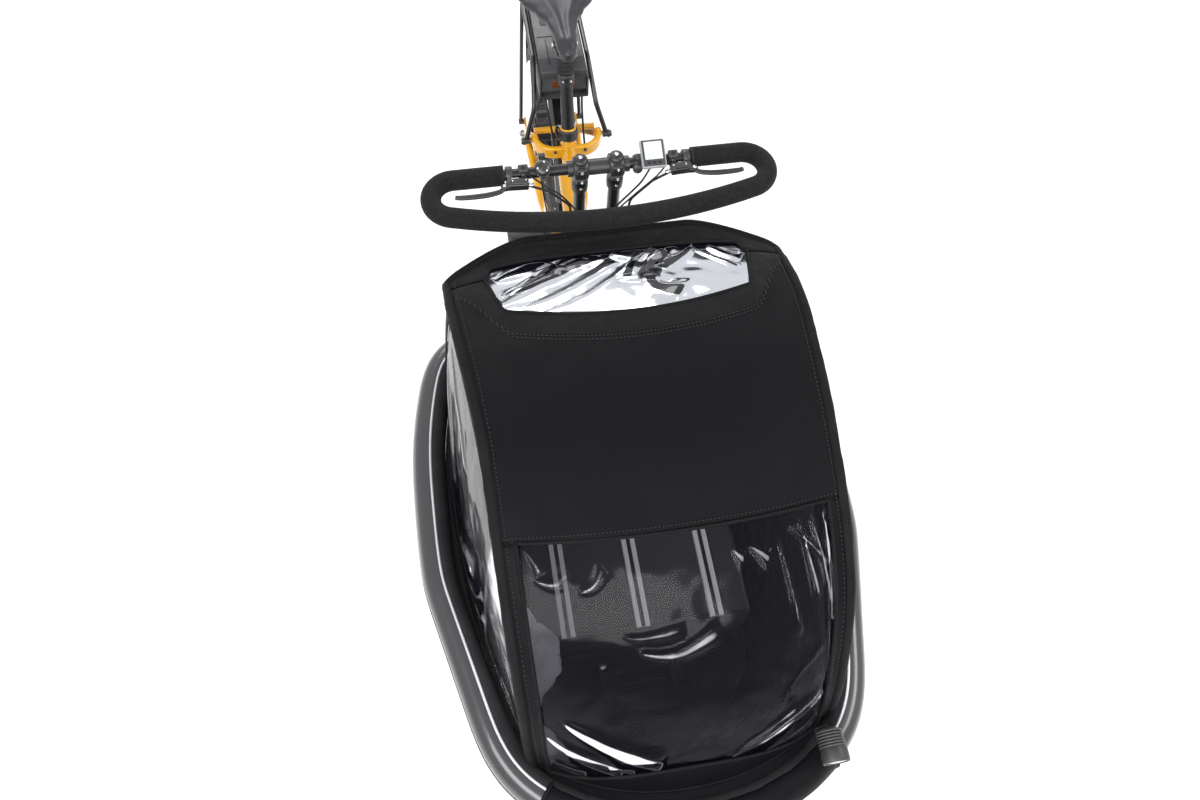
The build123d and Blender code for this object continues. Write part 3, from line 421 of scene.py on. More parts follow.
def studio():
    """Four soft lamps and a white world that lights the object less than it shows."""
    world = bpy.data.worlds.new("studio")
    bpy.context.scene.world = world
    world.use_nodes = True
    tree = world.node_tree
    soft = tree.nodes["Background"]
    set_sockets(tree, soft, {"Color": (1, 1, 1, 1), "Strength": 0.42})
    seen = add_node(tree, "Background", {"Color": (1, 1, 1, 1), "Strength": 1.0})
    pick = add_node(tree, "MixShader", {0: seen_ray(tree), 1: soft.outputs[0], 2: seen.outputs[0]})
    tree.links.new(pick.outputs[0], tree.nodes["World Output"].inputs["Surface"])
    for name, at, target, size, power in (
            ("key", (-2.4, -2.2, 3.6), (0, -0.4, 0.5), (2.6, 1.6), 95),
            ("fill", (2.8, -0.6, 3.2), (0, -0.2, 0.5), (2.4, 1.2), 60),
            ("front", (-0.5, -3.0, 2.6), (0, -0.6, 0.4), (2.4, 1.4), 70),
            ("back", (-0.4, 3.4, 2.8), (0, 0.2, 0.6), (3.0, 1.2), 60)):
        lamp = bpy.data.lights.new(name, "AREA")
        lamp.shape = "RECTANGLE"
        lamp.size, lamp.size_y = size
        lamp.energy = power
        obj = bpy.data.objects.new(name, lamp)
        obj.location = at
        obj.rotation_euler = (Vector(target) - Vector(at)).to_track_quat("-Z", "Y").to_euler()
        bpy.context.scene.collection.objects.link(obj)
    bpy.context.scene.view_settings.view_transform = "Standard"


def camera():
    turn, rise, roll = math.radians(-13.38), math.radians(61.59), math.radians(4.67)
    back = V(math.sin(turn) * math.cos(rise), -math.cos(turn) * math.cos(rise), math.sin(rise))
    right = V(math.cos(turn), math.sin(turn), 0)
    up = back.cross(right)
    right, up = (right * math.cos(roll) + up * math.sin(roll), up * math.cos(roll) - right * math.sin(roll))
    lens = bpy.data.cameras.new("camera")
    lens.lens, lens.sensor_width = 29.76, 36
    obj = bpy.data.objects.new("camera", lens)
    obj.matrix_world = Matrix.Translation(V(-0.271, -1.231, 2.471)) @ Matrix(
        ((right.x, up.x, back.x), (right.y, up.y, back.y), (right.z, up.z, back.z))).to_4x4()
    bpy.context.scene.collection.objects.link(obj)
    bpy.context.scene.camera = obj


# ------------------------------------------------------------------ canopy
# The canopy's lines, each from the back to the nose: the roof's left edge, the roof's middle, and the foot of
# the left side panel.
EDGE = [(.322, -.119, .908), (.318, -.200, .955), (.309, -.300, .998), (.297, -.411, 1.020),
        (.289, -.515, 1.022), (.286, -.600, 1.000), (.285, -.665, .976), (.284, -.740, .938),
        (.282, -.820, .874), (.279, -.890, .772), (.277, -.935, .668), (.272, -.955, .590)]
MIDDLE = [(0, -.034, .900), (0, -.130, .950), (0, -.240, .998), (0, -.360, 1.030), (0, -.480, 1.035),
          (0, -.590, 1.020), (0, -.680, .988), (0, -.775, .944), (0, -.865, .876), (0, -.940, .776),
          (0, -1.000, .675), (0, -1.040, .592)]
SIDE_FOOT = [(.350, -.165, .566), (.362, -.260, .566), (.369, -.350, .566), (.372, -.430, .566),
             (.369, -.510, .566), (.362, -.590, .566), (.352, -.660, .566), (.338, -.730, .566),
             (.320, -.800, .566), (.300, -.865, .566), (.282, -.915, .570), (.270, -.940, .578)]
ROOF_ROWS = 11.0
WINDOW_TOP = 6.15                         # front window's upper edge, in rows of the lists above
BAND_EDGE = 0.905                         # front window's half width, as a share of the roof's
ROOF_WINDOW = 0.79                        # roof window's half width, likewise
# The side windows' corners, as shares of the side panel's length and height.
SIDE_LOW, SIDE_HIGH = (0.08, 0.10), (0.93, 0.86)


def roof(u, row):
    """The roof sheet: u runs across from -1 to 1, row along from the back to the nose."""
    edge, middle = along(EDGE, row / ROOF_ROWS), along(MIDDLE, row / ROOF_ROWS)
    square = (max(0, abs(u) - 0.5) / 0.5) ** 1.4
    fall = square + (abs(u) ** 2.2 - square) * smooth_step(row / 2.5)
    lift = -0.006 * (max(0, abs(u) - 0.93) / 0.07) ** 2
    return V(u * edge.x, middle.y + (edge.y - middle.y) * fall, middle.z + (edge.z - middle.z) * fall + lift)


def roof_out(u, row):
    """Outward direction of the roof sheet."""
    d = 0.02
    across = roof(min(u + d, 1), row) - roof(max(u - d, -1), row)
    down = roof(u, min(row + 0.1, ROOF_ROWS)) - roof(u, max(row - 0.1, 0))
    out = across.cross(down).normalized()
    return -out if out.z < 0 else out


def raised(u, row, lift):
    """A point lift metres off the roof sheet."""
    return roof(u, row) + roof_out(u, row) * lift


def row_at(u, y):
    """The row where the roof sheet reaches y."""
    low, high = 0.0, 6.0
    for _ in range(22):
        middle = (low + high) / 2
        if roof(u, middle).y > y:
            low = middle
        else:
            high = middle
    return low


def cloth(p, size=0.0016, scale=5.0):
    """Slow ripples of stretched cloth at point p."""
    q = p * scale
    return size * (noise.noise(q) + 0.6 * noise.noise(q * 2.3 + V(7, 3, 1)))


def back_window_edge(u):
    """First and last row of the roof window at u."""
    a = min(abs(u), ROOF_WINDOW)
    top = -0.108 - 0.004 * (a / 0.77) ** 2 - 0.032 * smooth_step((a - 0.74) / 0.05)
    foot = -0.297 + 0.012 * (a / 0.38) ** 2 + 0.10 * smooth_step((a - 0.72) / 0.08)
    return row_at(u, top), row_at(u, min(foot, top - 0.002))


def seam_row(u):
    """The row where the band round the roof window meets the roof."""
    a = abs(u)
    return max(row_at(u, -0.347 + 0.026 * (a / 0.6) ** 2 + 0.10 * smooth_step((a - 0.70) / 0.26)),
               back_window_edge(u)[1] + 0.12)


def front_top(u):
    """Row of the front window's upper edge at u."""
    return WINDOW_TOP + 0.05 * (1 - u * u)


def front_foot(u):
    """Row of the front window's lower edge at u."""
    return 10.25 + 0.75 * (min(abs(u), BAND_EDGE) / BAND_EDGE) ** 2


def closeness(spots, line, width):
    """How near each (x, y) of spots is to a curved line, which starts thin and widens."""
    path = np.array([(p.x, p.y) for p in curve_through([V(x, y, 0) for x, y in line], 6)])
    best, share = np.full(len(spots), 9.0), np.zeros(len(spots))
    for k in range(len(path) - 1):
        a, step = path[k], path[k + 1] - path[k]
        t = np.clip(((spots - a) @ step) / max(step @ step, 1e-9), 0, 1)
        gap = np.hypot(*(spots - a - t[:, None] * step).T)
        nearer = gap < best
        best = np.where(nearer, gap, best)
        share = np.where(nearer, (k + t) / (len(path) - 1), share)
    return np.exp(-(best / (width * (0.25 + 1.5 * share))) ** 4) * (1 - np.abs(2 * share - 1) ** 8)


# Folds in a film, on its own plane: x from -1 to 1 and y from 0 to 1. Each row is the x and y of its start,
# middle and end, then its width, its height in metres and its glare, a painted highlight along the fold, which
# is below 0 for a dark fold, where painted glare is taken away.
SIDE_FOLDS = [
    (-0.98, 0.30, -0.80, 0.60, -0.55, 0.90, 0.030, 0.004, 0.9),
    (-0.90, 0.10, -0.62, 0.30, -0.40, 0.40, 0.014, 0.003, 0.7),
    (-0.30, 0.95, -0.14, 0.80, -0.02, 0.72, 0.016, 0.005, 0.9),
    (-0.10, 0.98, 0.08, 0.84, 0.16, 0.60, 0.008, 0.004, 0.7),
    (0.06, 0.98, 0.18, 0.90, 0.24, 0.76, 0.008, 0.004, 0.7),
]
FRONT_FOLDS = [
    (-0.86, 0.66, -0.55, 0.82, -0.20, 0.985, 0.024, 0.006, 1.0),
    (-0.99, 0.72, -0.75, 0.86, -0.48, 0.99, 0.024, 0.005, 1.0),
    (-0.98, 0.88, -0.88, 0.93, -0.74, 0.985, 0.018, 0.003, 0.9),
    (-0.58, 0.93, -0.50, 0.96, -0.40, 0.99, 0.010, 0.002, 0.8),
    (0.28, 0.995, 0.62, 0.86, 0.99, 0.71, 0.018, 0.006, 1.0),
    (0.24, 1.0, 0.58, 0.85, 0.97, 0.68, 0.006, 0.003, 0.50),
    (0.56, 0.995, 0.78, 0.93, 0.99, 0.86, 0.016, 0.005, 1.0),
    (0.84, 0.99, 0.90, 0.96, 0.98, 0.91, 0.012, 0.004, 0.9),
    (0.40, 0.93, 0.56, 0.84, 0.78, 0.74, 0.005, 0.003, 0.44),
    (0.62, 0.72, 0.76, 0.60, 0.95, 0.50, 0.004, 0.003, 0.44),
    (-0.33, 0.425, -0.08, 0.455, 0.20, 0.385, 0.012, 0.006, 0.55),
    (-0.42, 0.36, -0.28, 0.375, -0.02, 0.365, 0.007, 0.004, 0.45),
    (0.78, 0.04, 0.83, 0.20, 0.88, 0.34, 0.010, 0.005, 0.52),
    (0.86, 0.04, 0.92, 0.20, 0.97, 0.38, 0.010, 0.005, 0.52),
    (0.955, 0.03, 0.97, 0.20, 0.985, 0.44, 0.010, 0.005, 0.85),
    (0.70, 0.06, 0.84, 0.14, 0.97, 0.24, 0.006, 0.004, 0.46),
    (0.63, 0.10, 0.68, 0.24, 0.74, 0.46, 0.007, 0.004, 0.45),
    (-0.93, 0.14, -0.80, 0.155, -0.70, 0.115, 0.013, 0.003, 0.45),
    (-0.66, 0.19, -0.56, 0.17, -0.48, 0.10, 0.013, 0.003, 0.45),
    (-0.95, 0.03, -0.90, 0.08, -0.88, 0.12, 0.010, 0.003, 0.44),
    (0.33, 0.10, 0.36, 0.125, 0.40, 0.15, 0.012, 0.003, 0.50),
    (0.44, 0.10, 0.50, 0.13, 0.57, 0.17, 0.012, 0.003, 0.50),
]
ROOF_FOLDS = [
    (-0.98, 0.90, -0.62, 0.50, -0.12, 0.08, 0.030, 0.004, -1.0),
    (-0.90, 0.70, -0.60, 0.40, -0.30, 0.06, 0.040, 0.004, -1.0),
    (-0.94, 0.35, -0.74, 0.22, -0.50, 0.10, 0.060, 0.004, -1.0),
    (-0.80, 0.92, -0.40, 0.58, -0.02, 0.20, 0.014, 0.003, -0.9),
    (-0.66, 0.96, -0.30, 0.70, 0.04, 0.34, 0.008, 0.003, -0.8),
    (-0.05, 0.06, 0.10, 0.12, 0.34, 0.04, 0.050, 0.004, -1.0),
    (0.46, 0.03, 0.26, 0.34, 0.17, 0.62, 0.055, 0.006, -1.0),
    (0.17, 0.50, 0.22, 0.74, 0.40, 0.86, 0.050, 0.006, -1.0),
    (0.30, 0.05, 0.12, 0.26, 0.02, 0.52, 0.020, 0.005, -1.0),
    (0.60, 0.04, 0.52, 0.20, 0.30, 0.44, 0.020, 0.005, -1.0),
    (0.70, 0.05, 0.80, 0.24, 0.96, 0.42, 0.026, 0.004, -1.0),
    (0.56, 0.04, 0.70, 0.30, 0.88, 0.60, 0.010, 0.003, -0.9),
]


def film(name, node, nu, nv, place, folds, painted_glare_level, mat, ripple=0.004):
    """A clear pane over place(a, b), with its folds and a map of painted glare over (x, y)."""
    piece = Piece(name, "front_module", "clear_film", (node,))
    spots = np.array([(-1 + 2 * i / nu, j / nv) for j in range(nv + 1) for i in range(nu + 1)])
    x, y = spots.T
    hem = np.clip(np.minimum.reduce([(1 + x) / 2, (1 - x) / 2, y, 1 - y]) * 14, 0, 1)
    rise, glare = np.zeros(len(spots)), painted_glare_level(x, y)
    for *line, width, height, bright in folds:
        line = list(zip(line[::2], line[1::2]))
        rise += height * closeness(spots, line, width * 2.2)
        # Each fold lifts the film and paints glare along its crest as a highlight; a glare below 0 takes
        # painted glare away.
        near = closeness(spots, line, width)
        glare = np.maximum(glare, bright * near) if bright > 0 else glare * (1 + bright * near)

    def skin(a, b):
        k = round(b * nv) * (nu + 1) + round(a * nu)
        p, out = place(a, b)
        wave = ripple * noise.noise(p * 9) + ripple * 0.4 * noise.noise(p * 30)
        return p + out * ((float(rise[k]) + wave) * float(hem[k]) - 0.002)
    piece.grid(skin, nu, nv, mat)
    obj = piece.build(solid=0.0006)
    # The painted glare goes onto the mesh as its glare value, for the film's material.
    layer = obj.data.attributes.new("glare", "FLOAT", "POINT")
    layer.data.foreach_set("value", np.clip(glare, 0, 1).astype(np.float32))
    return obj


def wall(side):
    """One side panel: a runs from back to nose, b from the roof's edge to the foot."""
    def point(a, b):
        foot = along(SIDE_FOOT, a)
        p = roof(side, a * ROOF_ROWS).lerp(V(side * foot.x, foot.y, foot.z), b)
        return p + V(side, 0, 0) * (0.008 * math.sin(PI * b) + cloth(p, 0.002, 6))
    return point


def back_wall(a, b):
    u = -1 + 2 * a
    p = roof(u, 0).lerp(V(u * 0.350, -0.104 - 0.061 * abs(u) ** 7, 0.566), b)
    return p + V(0, 1, 0) * cloth(p, 0.003, 5)


def canopy_skin():
    """Roof, side walls and back wall, with their openings left out."""
    skin = Piece("canopy_skin", "front_module", "canopy_fabric", ("canopy_shell",))
    across = 72

    def strip(first, last, rows, u_low, u_high, mat, puff=0.0, columns=across):
        def point(a, b):
            u = u_low + (u_high - u_low) * a
            row = first(u) + (last(u) - first(u)) * b
            p = roof(u, row)
            return p + roof_out(u, row) * (cloth(p) + puff * math.sin(PI * b) ** 0.7)
        skin.grid(point, columns, rows, mat)

    def part(panel, a0, a1, b0, b1, na, nb):
        skin.grid(lambda a, b: panel(a0 + (a1 - a0) * a, b0 + (b1 - b0) * b), na, nb, FABRIC)

    strip(lambda u: 0, lambda u: back_window_edge(u)[0], 8, -1, 1, BAND, 0.003)
    strip(lambda u: back_window_edge(u)[1], seam_row, 8, -1, 1, BAND, 0.003)
    strip(seam_row, front_top, 44, -1, 1, FABRIC)
    for side in (-1, 1):
        strip(front_top, lambda u: ROOF_ROWS, 48, side * BAND_EDGE, side, FABRIC, 0.0, 8)
    strip(front_foot, lambda u: ROOF_ROWS, 10, -BAND_EDGE, BAND_EDGE, FABRIC)
    (left, top), (right, foot) = SIDE_LOW, SIDE_HIGH
    for side in (-1, 1):
        panel = wall(side)
        part(panel, 0, 1, 0, top, 60, 4)
        part(panel, 0, 1, foot, 1, 60, 6)
        part(panel, 0, left, top, foot, 6, 24)
        part(panel, right, 1, top, foot, 6, 24)
    skin.grid(back_wall, across, 28, FABRIC)
    return skin.build(solid=0.002, merge=0.0004)


def canopy_trim():
    """Puffed tubes along the roof's edges, and the flat hems round the front and roof windows."""
    trim = Piece("canopy_edge_bands", "front_module", "canopy_fabric")
    for side in (-1, 1):
        run = [roof(side, ROOF_ROWS * k / 90) + V(side * 0.001, 0, -0.003) for k in range(91)]
        trim.tube(run, [0.0105 + 0.0012 * noise.noise(p * 40) for p in run], BAND, 12)
        u, top = side * BAND_EDGE, front_top(BAND_EDGE)
        trim.tube([raised(u, top + (ROOF_ROWS - top) * k / 60, 0.001) for k in range(61)], 0.0035, BAND, 8)
    trim.tube([roof(-1 + 2 * k / 60, 0) + V(0, 0.001, 0) for k in range(61)], 0.0085, BAND, 12)
    for row in (front_top, front_foot):
        line = [BAND_EDGE * (-1 + k / 30) for k in range(61)]
        trim.tube([raised(u, row(u), 0.001) for u in line], 0.0032, BAND, 8)
    line = [ROOF_WINDOW * (-1 + k / 40) for k in range(81)]
    run = [roof(u, back_window_edge(u)[0]) for u in line]
    run += [roof(u, back_window_edge(u)[1]) for u in reversed(line)]
    trim.tube([p + V(0, 0, 0.001) for p in run], 0.003, BAND, 8, closed=True)
    return trim.build()


def canopy_stitching():
    """Short raised threads beside every seam."""
    thread = Piece("canopy_stitching", "front_module", "canopy_fabric")
    proud, radius, edge = 0.0022, 0.0007, 0.955

    def stitches(path):
        for k in range(0, len(path) - 1, 2):
            thread.tube([path[k], path[k].lerp(path[k + 1], 0.8)], radius, STITCH, 5)
    line = [-0.97 + 1.94 * k / 170 for k in range(171)]
    for offset in (0.045, 0.11):
        stitches([roof(u, seam_row(u) + offset) + roof_out(u, seam_row(u)) * proud for u in line])
    stitches([roof(u, front_top(u) - 0.1) + roof_out(u, 6) * proud for u in line])
    for side in (-1, 1):
        stitches([raised(side * edge, 0.3 + 10.4 * k / 260, proud) for k in range(261)])
    return thread.build()


def side_film(side, word):
    panel = wall(side)

    def pane(a, b):
        return panel(SIDE_LOW[0] + (SIDE_HIGH[0] - SIDE_LOW[0]) * a,
                     SIDE_LOW[1] + (SIDE_HIGH[1] - SIDE_LOW[1]) * b), V(side, 0, 0)
    # The pale front part of each side film is painted glare, a painted reflection of the white studio with a
    # hard rear edge.
    return film("side_film_" + word, "side_window_" + word, 150, 60, pane, SIDE_FOLDS,
                lambda x, y: np.clip(0.5 + 5 * (x - 0.05 - 0.26 * y), 0.10, 1.0), SIDE_FILM, 0.0015)


def front_film():
    def pane(a, b):
        u = BAND_EDGE * (-1 + 2 * a)
        row = front_top(u) + (front_foot(u) - front_top(u)) * b
        return roof(u, row), roof_out(u, row)
    # The front film's glare is painted only along its folds, as highlights.
    return film("front_film", "front_window", 220, 170, pane, FRONT_FOLDS,
                lambda x, y: np.full(len(x), 0.06), FRONT_FILM, 0.003)


def roof_film():
    def pane(a, b):
        u = (ROOF_WINDOW - 0.001) * (-1 + 2 * a)
        first, last = back_window_edge(u)
        row = first + (last - first) * b
        return roof(u, row), roof_out(u, row)
    # The roof film's glare map is a painted reflection, rising from nothing at its back edge to full at its
    # front edge; its folds take painted glare away.
    return film("roof_film", "roof_window", 240, 80, pane, ROOF_FOLDS,
                lambda x, y: np.clip(0.55 + 0.45 * y - 0.55 * np.exp(-(y / 0.09) ** 2), 0, 1), ROOF_FILM)


# ------------------------------------------------------------------ bumper
def ring_line(count=300):
    """The bumper's outer edge seen from above: an even closed line that starts at the nose."""
    flat = [v.co.to_2d() for v in frame["nodes"]["bumper_ring"].data.vertices]
    hull = [V(flat[i].x, flat[i].y, 0) for i in geometry.convex_hull_2d(flat)]
    if sum(a.x * b.y - b.x * a.y for a, b in zip(hull, hull[1:] + hull[:1])) < 0:
        hull.reverse()
    first = min(range(len(hull)), key=lambda i: (round(hull[i].y, 4), abs(hull[i].x)))
    line = evenly(hull[first:] + hull[:first + 1], count)
    for _ in range(6):
        line = [(line[i - 1] + 2 * line[i] + line[(i + 1) % count]) / 4 for i in range(count)]
    return line


def evenly(path, count):
    """count points at even steps along a path, its last point left out."""
    reach = [0.0]
    for a, b in zip(path, path[1:]):
        reach.append(reach[-1] + (b - a).length)
    line, k = [], 0
    for i in range(count):
        want = reach[-1] * i / count
        while reach[k + 1] < want:
            k += 1
        line.append(path[k].lerp(path[k + 1], (want - reach[k]) / (reach[k + 1] - reach[k])))
    return line


def ring_path(inset, z):
    """The bumper's plan, inset from its outer edge, as a closed line at height z."""
    out = []
    for i, p in enumerate(RING):
        tangent = (RING[(i + 1) % len(RING)] - RING[i - 1]).normalized()
        q = p + V(-tangent.y, tangent.x, 0) * inset
        out.append(V(q.x, q.y, z))
    return out


def rippled(paths, size, scale):
    """The points of all the paths, each moved up or down by cloth's ripples."""
    return [p + V(0, 0, 1) * cloth(p, size, scale) for path in paths for p in path]


def bumper():
    box, count = node_box("bumper_ring"), len(RING)
    ring = Piece("bumper_cover", "front_module", "bumper_skin", ("bumper_ring",))
    section = ((0, 30), (1.5, 22), (6, 12), (14, 4), (26, 0), (40, 0), (52, 4), (60, 12), (64.5, 22),
               (66, 34), (66, 60), (64, 70), (58, 80), (50, 87), (40, 91), (28, 91.5), (18, 88), (9, 81),
               (3, 71), (0, 60))
    rings = [ring_path(inset / 1000, box.low.z + height / 1000) for inset, height in section]
    ring.add(rippled(rings, 0.0008, 4), quads(len(rings), count, wrap=True, close=True), BUMPER)
    ring = ring.build(merge=0.00001)
    trim = Piece("bumper_piping", "front_module", "bumper_skin")
    trim.tube(ring_path(0.040, box.high.z - 0.0003), 0.0030, SILVER, 8, closed=True)
    trim.tube(ring_path(-0.0002, box.low.z + 0.046), 0.0014, BAND, 6, closed=True)
    trim.build()
    skirt = Piece("bumper_skirt", "front_module", "canopy_fabric")
    section = mm((43, 1.2), (51, 1), (60, -5), (66.5, -16), (67.2, -30), (66.5, -43))
    lines = [ring_path(inset, box.high.z + height) for inset, height in section]
    skirt.add(rippled(lines, 0.0012, 30), quads(len(lines), count, wrap=True), SKIRT)
    return ring, skirt.build(solid=0.0015)


# ------------------------------------------------------------------ handlebar controls
BAR_BORE = 0.0114                         # bore of the clamps round the handlebar
BAR_TO_BACK = 0.0159                      # from the bar's middle to the back of the widest clamp


def joint(word):
    """Pivot point of a record joint, in the row frame."""
    return next(Vector(j["pos_m"]) for j in frame["record"]["behaviour"]["joints"] if j["name"] == word)


def seat_point(z):
    """The seat tube's axis at height z."""
    crank = joint("crank_spin")
    return V(0, crank.y + (z - crank.z) * SEAT_LEAN.y / SEAT_LEAN.z, z)


def bar_point(x=0):
    """A point on the middle line of the handlebar's rear run."""
    box = node_box("handlebar")
    return V(x, box.high.y - BAR_TO_BACK, box.mid.z)


def clamps():
    piece = Piece("handlebar_clamp_covers", "front_module", "black_paint",
                  ("handlebar_clamp_right", "handlebar_clamp_left"))
    for word in ("right", "left"):
        at = bar_point(node_box("handlebar_clamp_" + word).mid.x)
        piece.lathe(mm((16.3, -15), (20.5, -15), (23.2, -13), (24, -6), (24, 6), (23.2, 13), (20.5, 15),
                       (16.3, 15), (16.3, -15)), at, ACROSS, SATIN)
        piece.lathe(mm((13.2, -58), (16, -58), (16.8, -55), (17.2, -40), (16.8, -34), (16.2, -32), (17, -28),
                       (18.6, -16), (20, -10)), at, UP, SATIN)
        piece.lathe(mm((15, 14), (15, 22.5), (13.5, 26.2), (9.5, 28.5), (4, 29.7), (0, 30)), at, UP, SATIN, 30)
        piece.bolt(at + V(0, 0, 0.0292), UP, 0.0042)
        for lift in (0.0135, -0.0135):
            piece.block(at + V(0, -0.0215, lift), (0.022, 0.010, 0.012), SATIN, 0.003)
            piece.bolt(at + V(0, -0.0262, lift), (0, -1, 0), 0.0036)
        piece.bolt(at + V(0, -0.0168, -0.044), (0, -1, 0), 0.0034)
        piece.tube([at + V(x, y, -0.0585) for x, y in circle(24, 0.0152)], 0.0012, RUBBER, 6, closed=True)
    piece.build()


def bell():
    piece = Piece("bell_cover", "front_module", "black_metal", ("bell",))
    at = bar_point(node_box("bell").mid.x)
    piece.collar(at, BAR_BORE, 0.0158, 0.006, ENAMEL)
    lean = V(0, -0.42, 0.91).normalized()
    piece.lathe(mm((6, 10), (6, 18.5), (16.8, 18.5), (17.2, 20), (17, 25), (15, 29.5), (11, 32.2), (5.5, 33.6),
                   (0, 34)), at, lean, ENAMEL)
    side = lean.orthogonal().normalized()
    for k in range(3):
        out = (Matrix.Rotation(2 * PI * k / 3 + 0.4, 3, lean) @ side) * 0.0105
        piece.lathe(mm((2.4, 0), (2.2, 1.4), (0, 1.8)), at + lean * 0.0318 + out, lean, BOLT, 12)
    piece.lathe(mm((5.2, 0), (5.6, 4), (5.6, 16), (4.5, 19), (0, 19.6)), at + V(0.001, 0.010, 0.014),
                (0, 0.35, 1), PLASTIC, 16)
    piece.block(at + V(0.001, 0.0135, 0.030), (0.013, 0.007, 0.012), PLASTIC, 0.002)
    piece.build()


def display():
    piece = Piece("display_unit", "front_module", "screen_case", ("display",))
    edge = node_box("display").low.x
    ring = bar_point(edge + 0.006)
    piece.collar(ring, BAR_BORE, 0.0156, 0.006, PLASTIC)
    centre = bar_point(edge + 0.036) + V(0, -0.006, 0.027)
    tilt = (math.radians(24), 0, 0)
    spin = Matrix.Rotation(tilt[0], 3, "X")
    keys = [((0.011 * k, -0.0195, 0.0072), (0.007, 0.005, 0.0022), RUBBER, 0.001) for k in (-1, 0, 1)]
    piece.block(centre, (0.050, 0.058, 0.0125), SCREEN_CASE, 0.0050, tilt, 5)
    for spot, size, mat, bevel in [((0, 0, 0.0058), (0.044, 0.052, 0.003), PLASTIC, 0.0014),
                                   ((0, 0.005, 0.0071), (0.036, 0.036, 0.0016), SCREEN, 0.0007)] + keys:
        piece.block(centre + spin @ V(*spot), size, mat, bevel, tilt)
    piece.block(ring + V(0, -0.004, 0.0175), (0.011, 0.014, 0.012), PLASTIC, 0.002)
    piece.block(ring + V(0.012, -0.004, 0.021), (0.022, 0.012, 0.008), PLASTIC, 0.002, (0, -0.3, 0))
    piece.lathe(mm((9.5, 0), (10, 2), (10, 7), (8, 9), (0, 9.2)), ring + V(-0.001, -0.0135, 0.001),
                (0, -1, 0.35), PLASTIC, 24)
    piece.build()


def levers():
    bar = bar_point()
    for side, word in ((-1, "right"), (1, "left")):
        piece = Piece("brake_lever_set_" + word, "front_module", "black_metal", ("brake_lever_" + word,))
        box = node_box("brake_lever_" + word)
        reach = abs(box.high.x if side > 0 else box.low.x)
        tilt = (0, 0, side * 0.06)

        def at(x, y, z):
            return V(side * x, bar.y + y, bar.z + z)
        piece.collar(at(0.178, 0, 0), BAR_BORE, 0.0170, 0.007, SATIN, 0.0010)
        piece.block(at(0.178, -0.0185, 0), (0.014, 0.010, 0.016), SATIN, 0.002)
        piece.bolt(at(0.178, -0.0236, 0.004), (0, -1, 0), 0.0028)
        piece.block(at(0.164, -0.026, 0.001), (0.044, 0.021, 0.017), ENAMEL, 0.0035, tilt, 4)
        piece.block(at(0.160, -0.026, 0.0100), (0.034, 0.017, 0.0035), GLOSS, 0.0015, tilt)
        for x in (0.147, 0.173):
            piece.bolt(at(x, -0.026, 0.0112), UP, 0.0020)
        piece.block(at(0.188, -0.030, 0), (0.018, 0.014, 0.012), SATIN, 0.003)
        piece.lathe(mm((3.4, -8), (4, -7), (4, 7), (3.4, 8), (0, 8)), at(0.190, -0.031, 0), UP, BOLT, 14)
        path = curve_through([at(0.190, -0.032, 0), at(0.200, -0.040, 0), at(0.222, -0.044, -0.001),
                              at(0.250, -0.0455, -0.001), at(reach - 0.012, -0.0455, 0),
                              at(reach - 0.001, -0.0435, 0)], 6)
        swell = [0.0046 + 0.0012 * math.sin(PI * k / len(path)) for k in range(len(path))]
        piece.tube(path, swell, SATIN, 12, flat=0.72)
        piece.lathe(mm((3.6, -1), (4.4, 1), (4.4, 10), (3, 12), (0, 12)), at(0.143, -0.029, -0.001),
                    (-side, -0.15, -0.05), BOLT, 14)
        piece.block(at(0.150, -0.003, 0.0165), (0.020, 0.017, 0.011), PLASTIC, 0.003, (0.2, 0, 0))
        piece.lathe(mm((11.4, -5), (14, -5), (14.6, 0), (14, 5), (11.4, 5)), at(0.150, 0, 0), ACROSS,
                    PLASTIC, 28)
        piece.lathe(mm((3.6, 0), (3.4, 2.2), (0, 2.8)), at(0.150, -0.004, 0.0218), (0, -0.2, 1), RUBBER, 14)
        piece.build()


def grip():
    """Front seam and end rings of the foam sleeve, on the CAD foam, and the leads from the controls."""
    bar = bar_point()
    seam = Piece("foam_seam", "front_module", "foam")
    seam.lathe(mm((19.6, -0.6), (20.35, 0), (19.6, 0.6)), V(0, node_box("foam_grip").low.y + 0.020, bar.z),
               ACROSS, RUBBER, 48)
    for side in (-1, 1):
        seam.lathe(mm((11.4, -1.5), (19.2, -1.5), (20.3, 0), (19.2, 2.2)), bar_point(side * 0.1895),
                   (side, 0, 0), RUBBER)
    seam.build()
    leads = Piece("control_leads", "front_module", "rubber")
    for start, turn, end, radius in (((104, -22, 12), (70, -40, -30), (10, -12, -170), 0.0020),
                                     ((-143, -12, 12), (-80, -34, -35), (-8, -14, -190), 0.0018),
                                     ((143, -12, 12), (100, -36, -20), (4, -16, -180), 0.0018)):
        start, turn, end = (bar + Vector(spot) / 1000 for spot in (start, turn, end))
        path = curve_through([start, start.lerp(turn, 0.6) + V(0, -0.006, 0.004), turn,
                              turn.lerp(end, 0.5) + V(0, -0.004, 0.012), end, end + V(0, 0.004, -0.08)])
        leads.tube(path, radius, RUBBER, 8)
    leads.build()


# ------------------------------------------------------------------ saddle and seatpost
SADDLE_STATIONS = [(0.0, 0.012), (0.03, 0.018), (0.10, 0.0235), (0.25, 0.0265), (0.42, 0.036), (0.55, 0.056),
                   (0.68, 0.082), (0.80, 0.096), (0.89, 0.0975), (0.95, 0.088), (0.985, 0.066), (1.0, 0.040)]
SADDLE_HALF = 0.0985                      # the half width that the stations above are drawn for
SADDLE_DEPTH = 0.044                      # from the top of the saddle to its underside


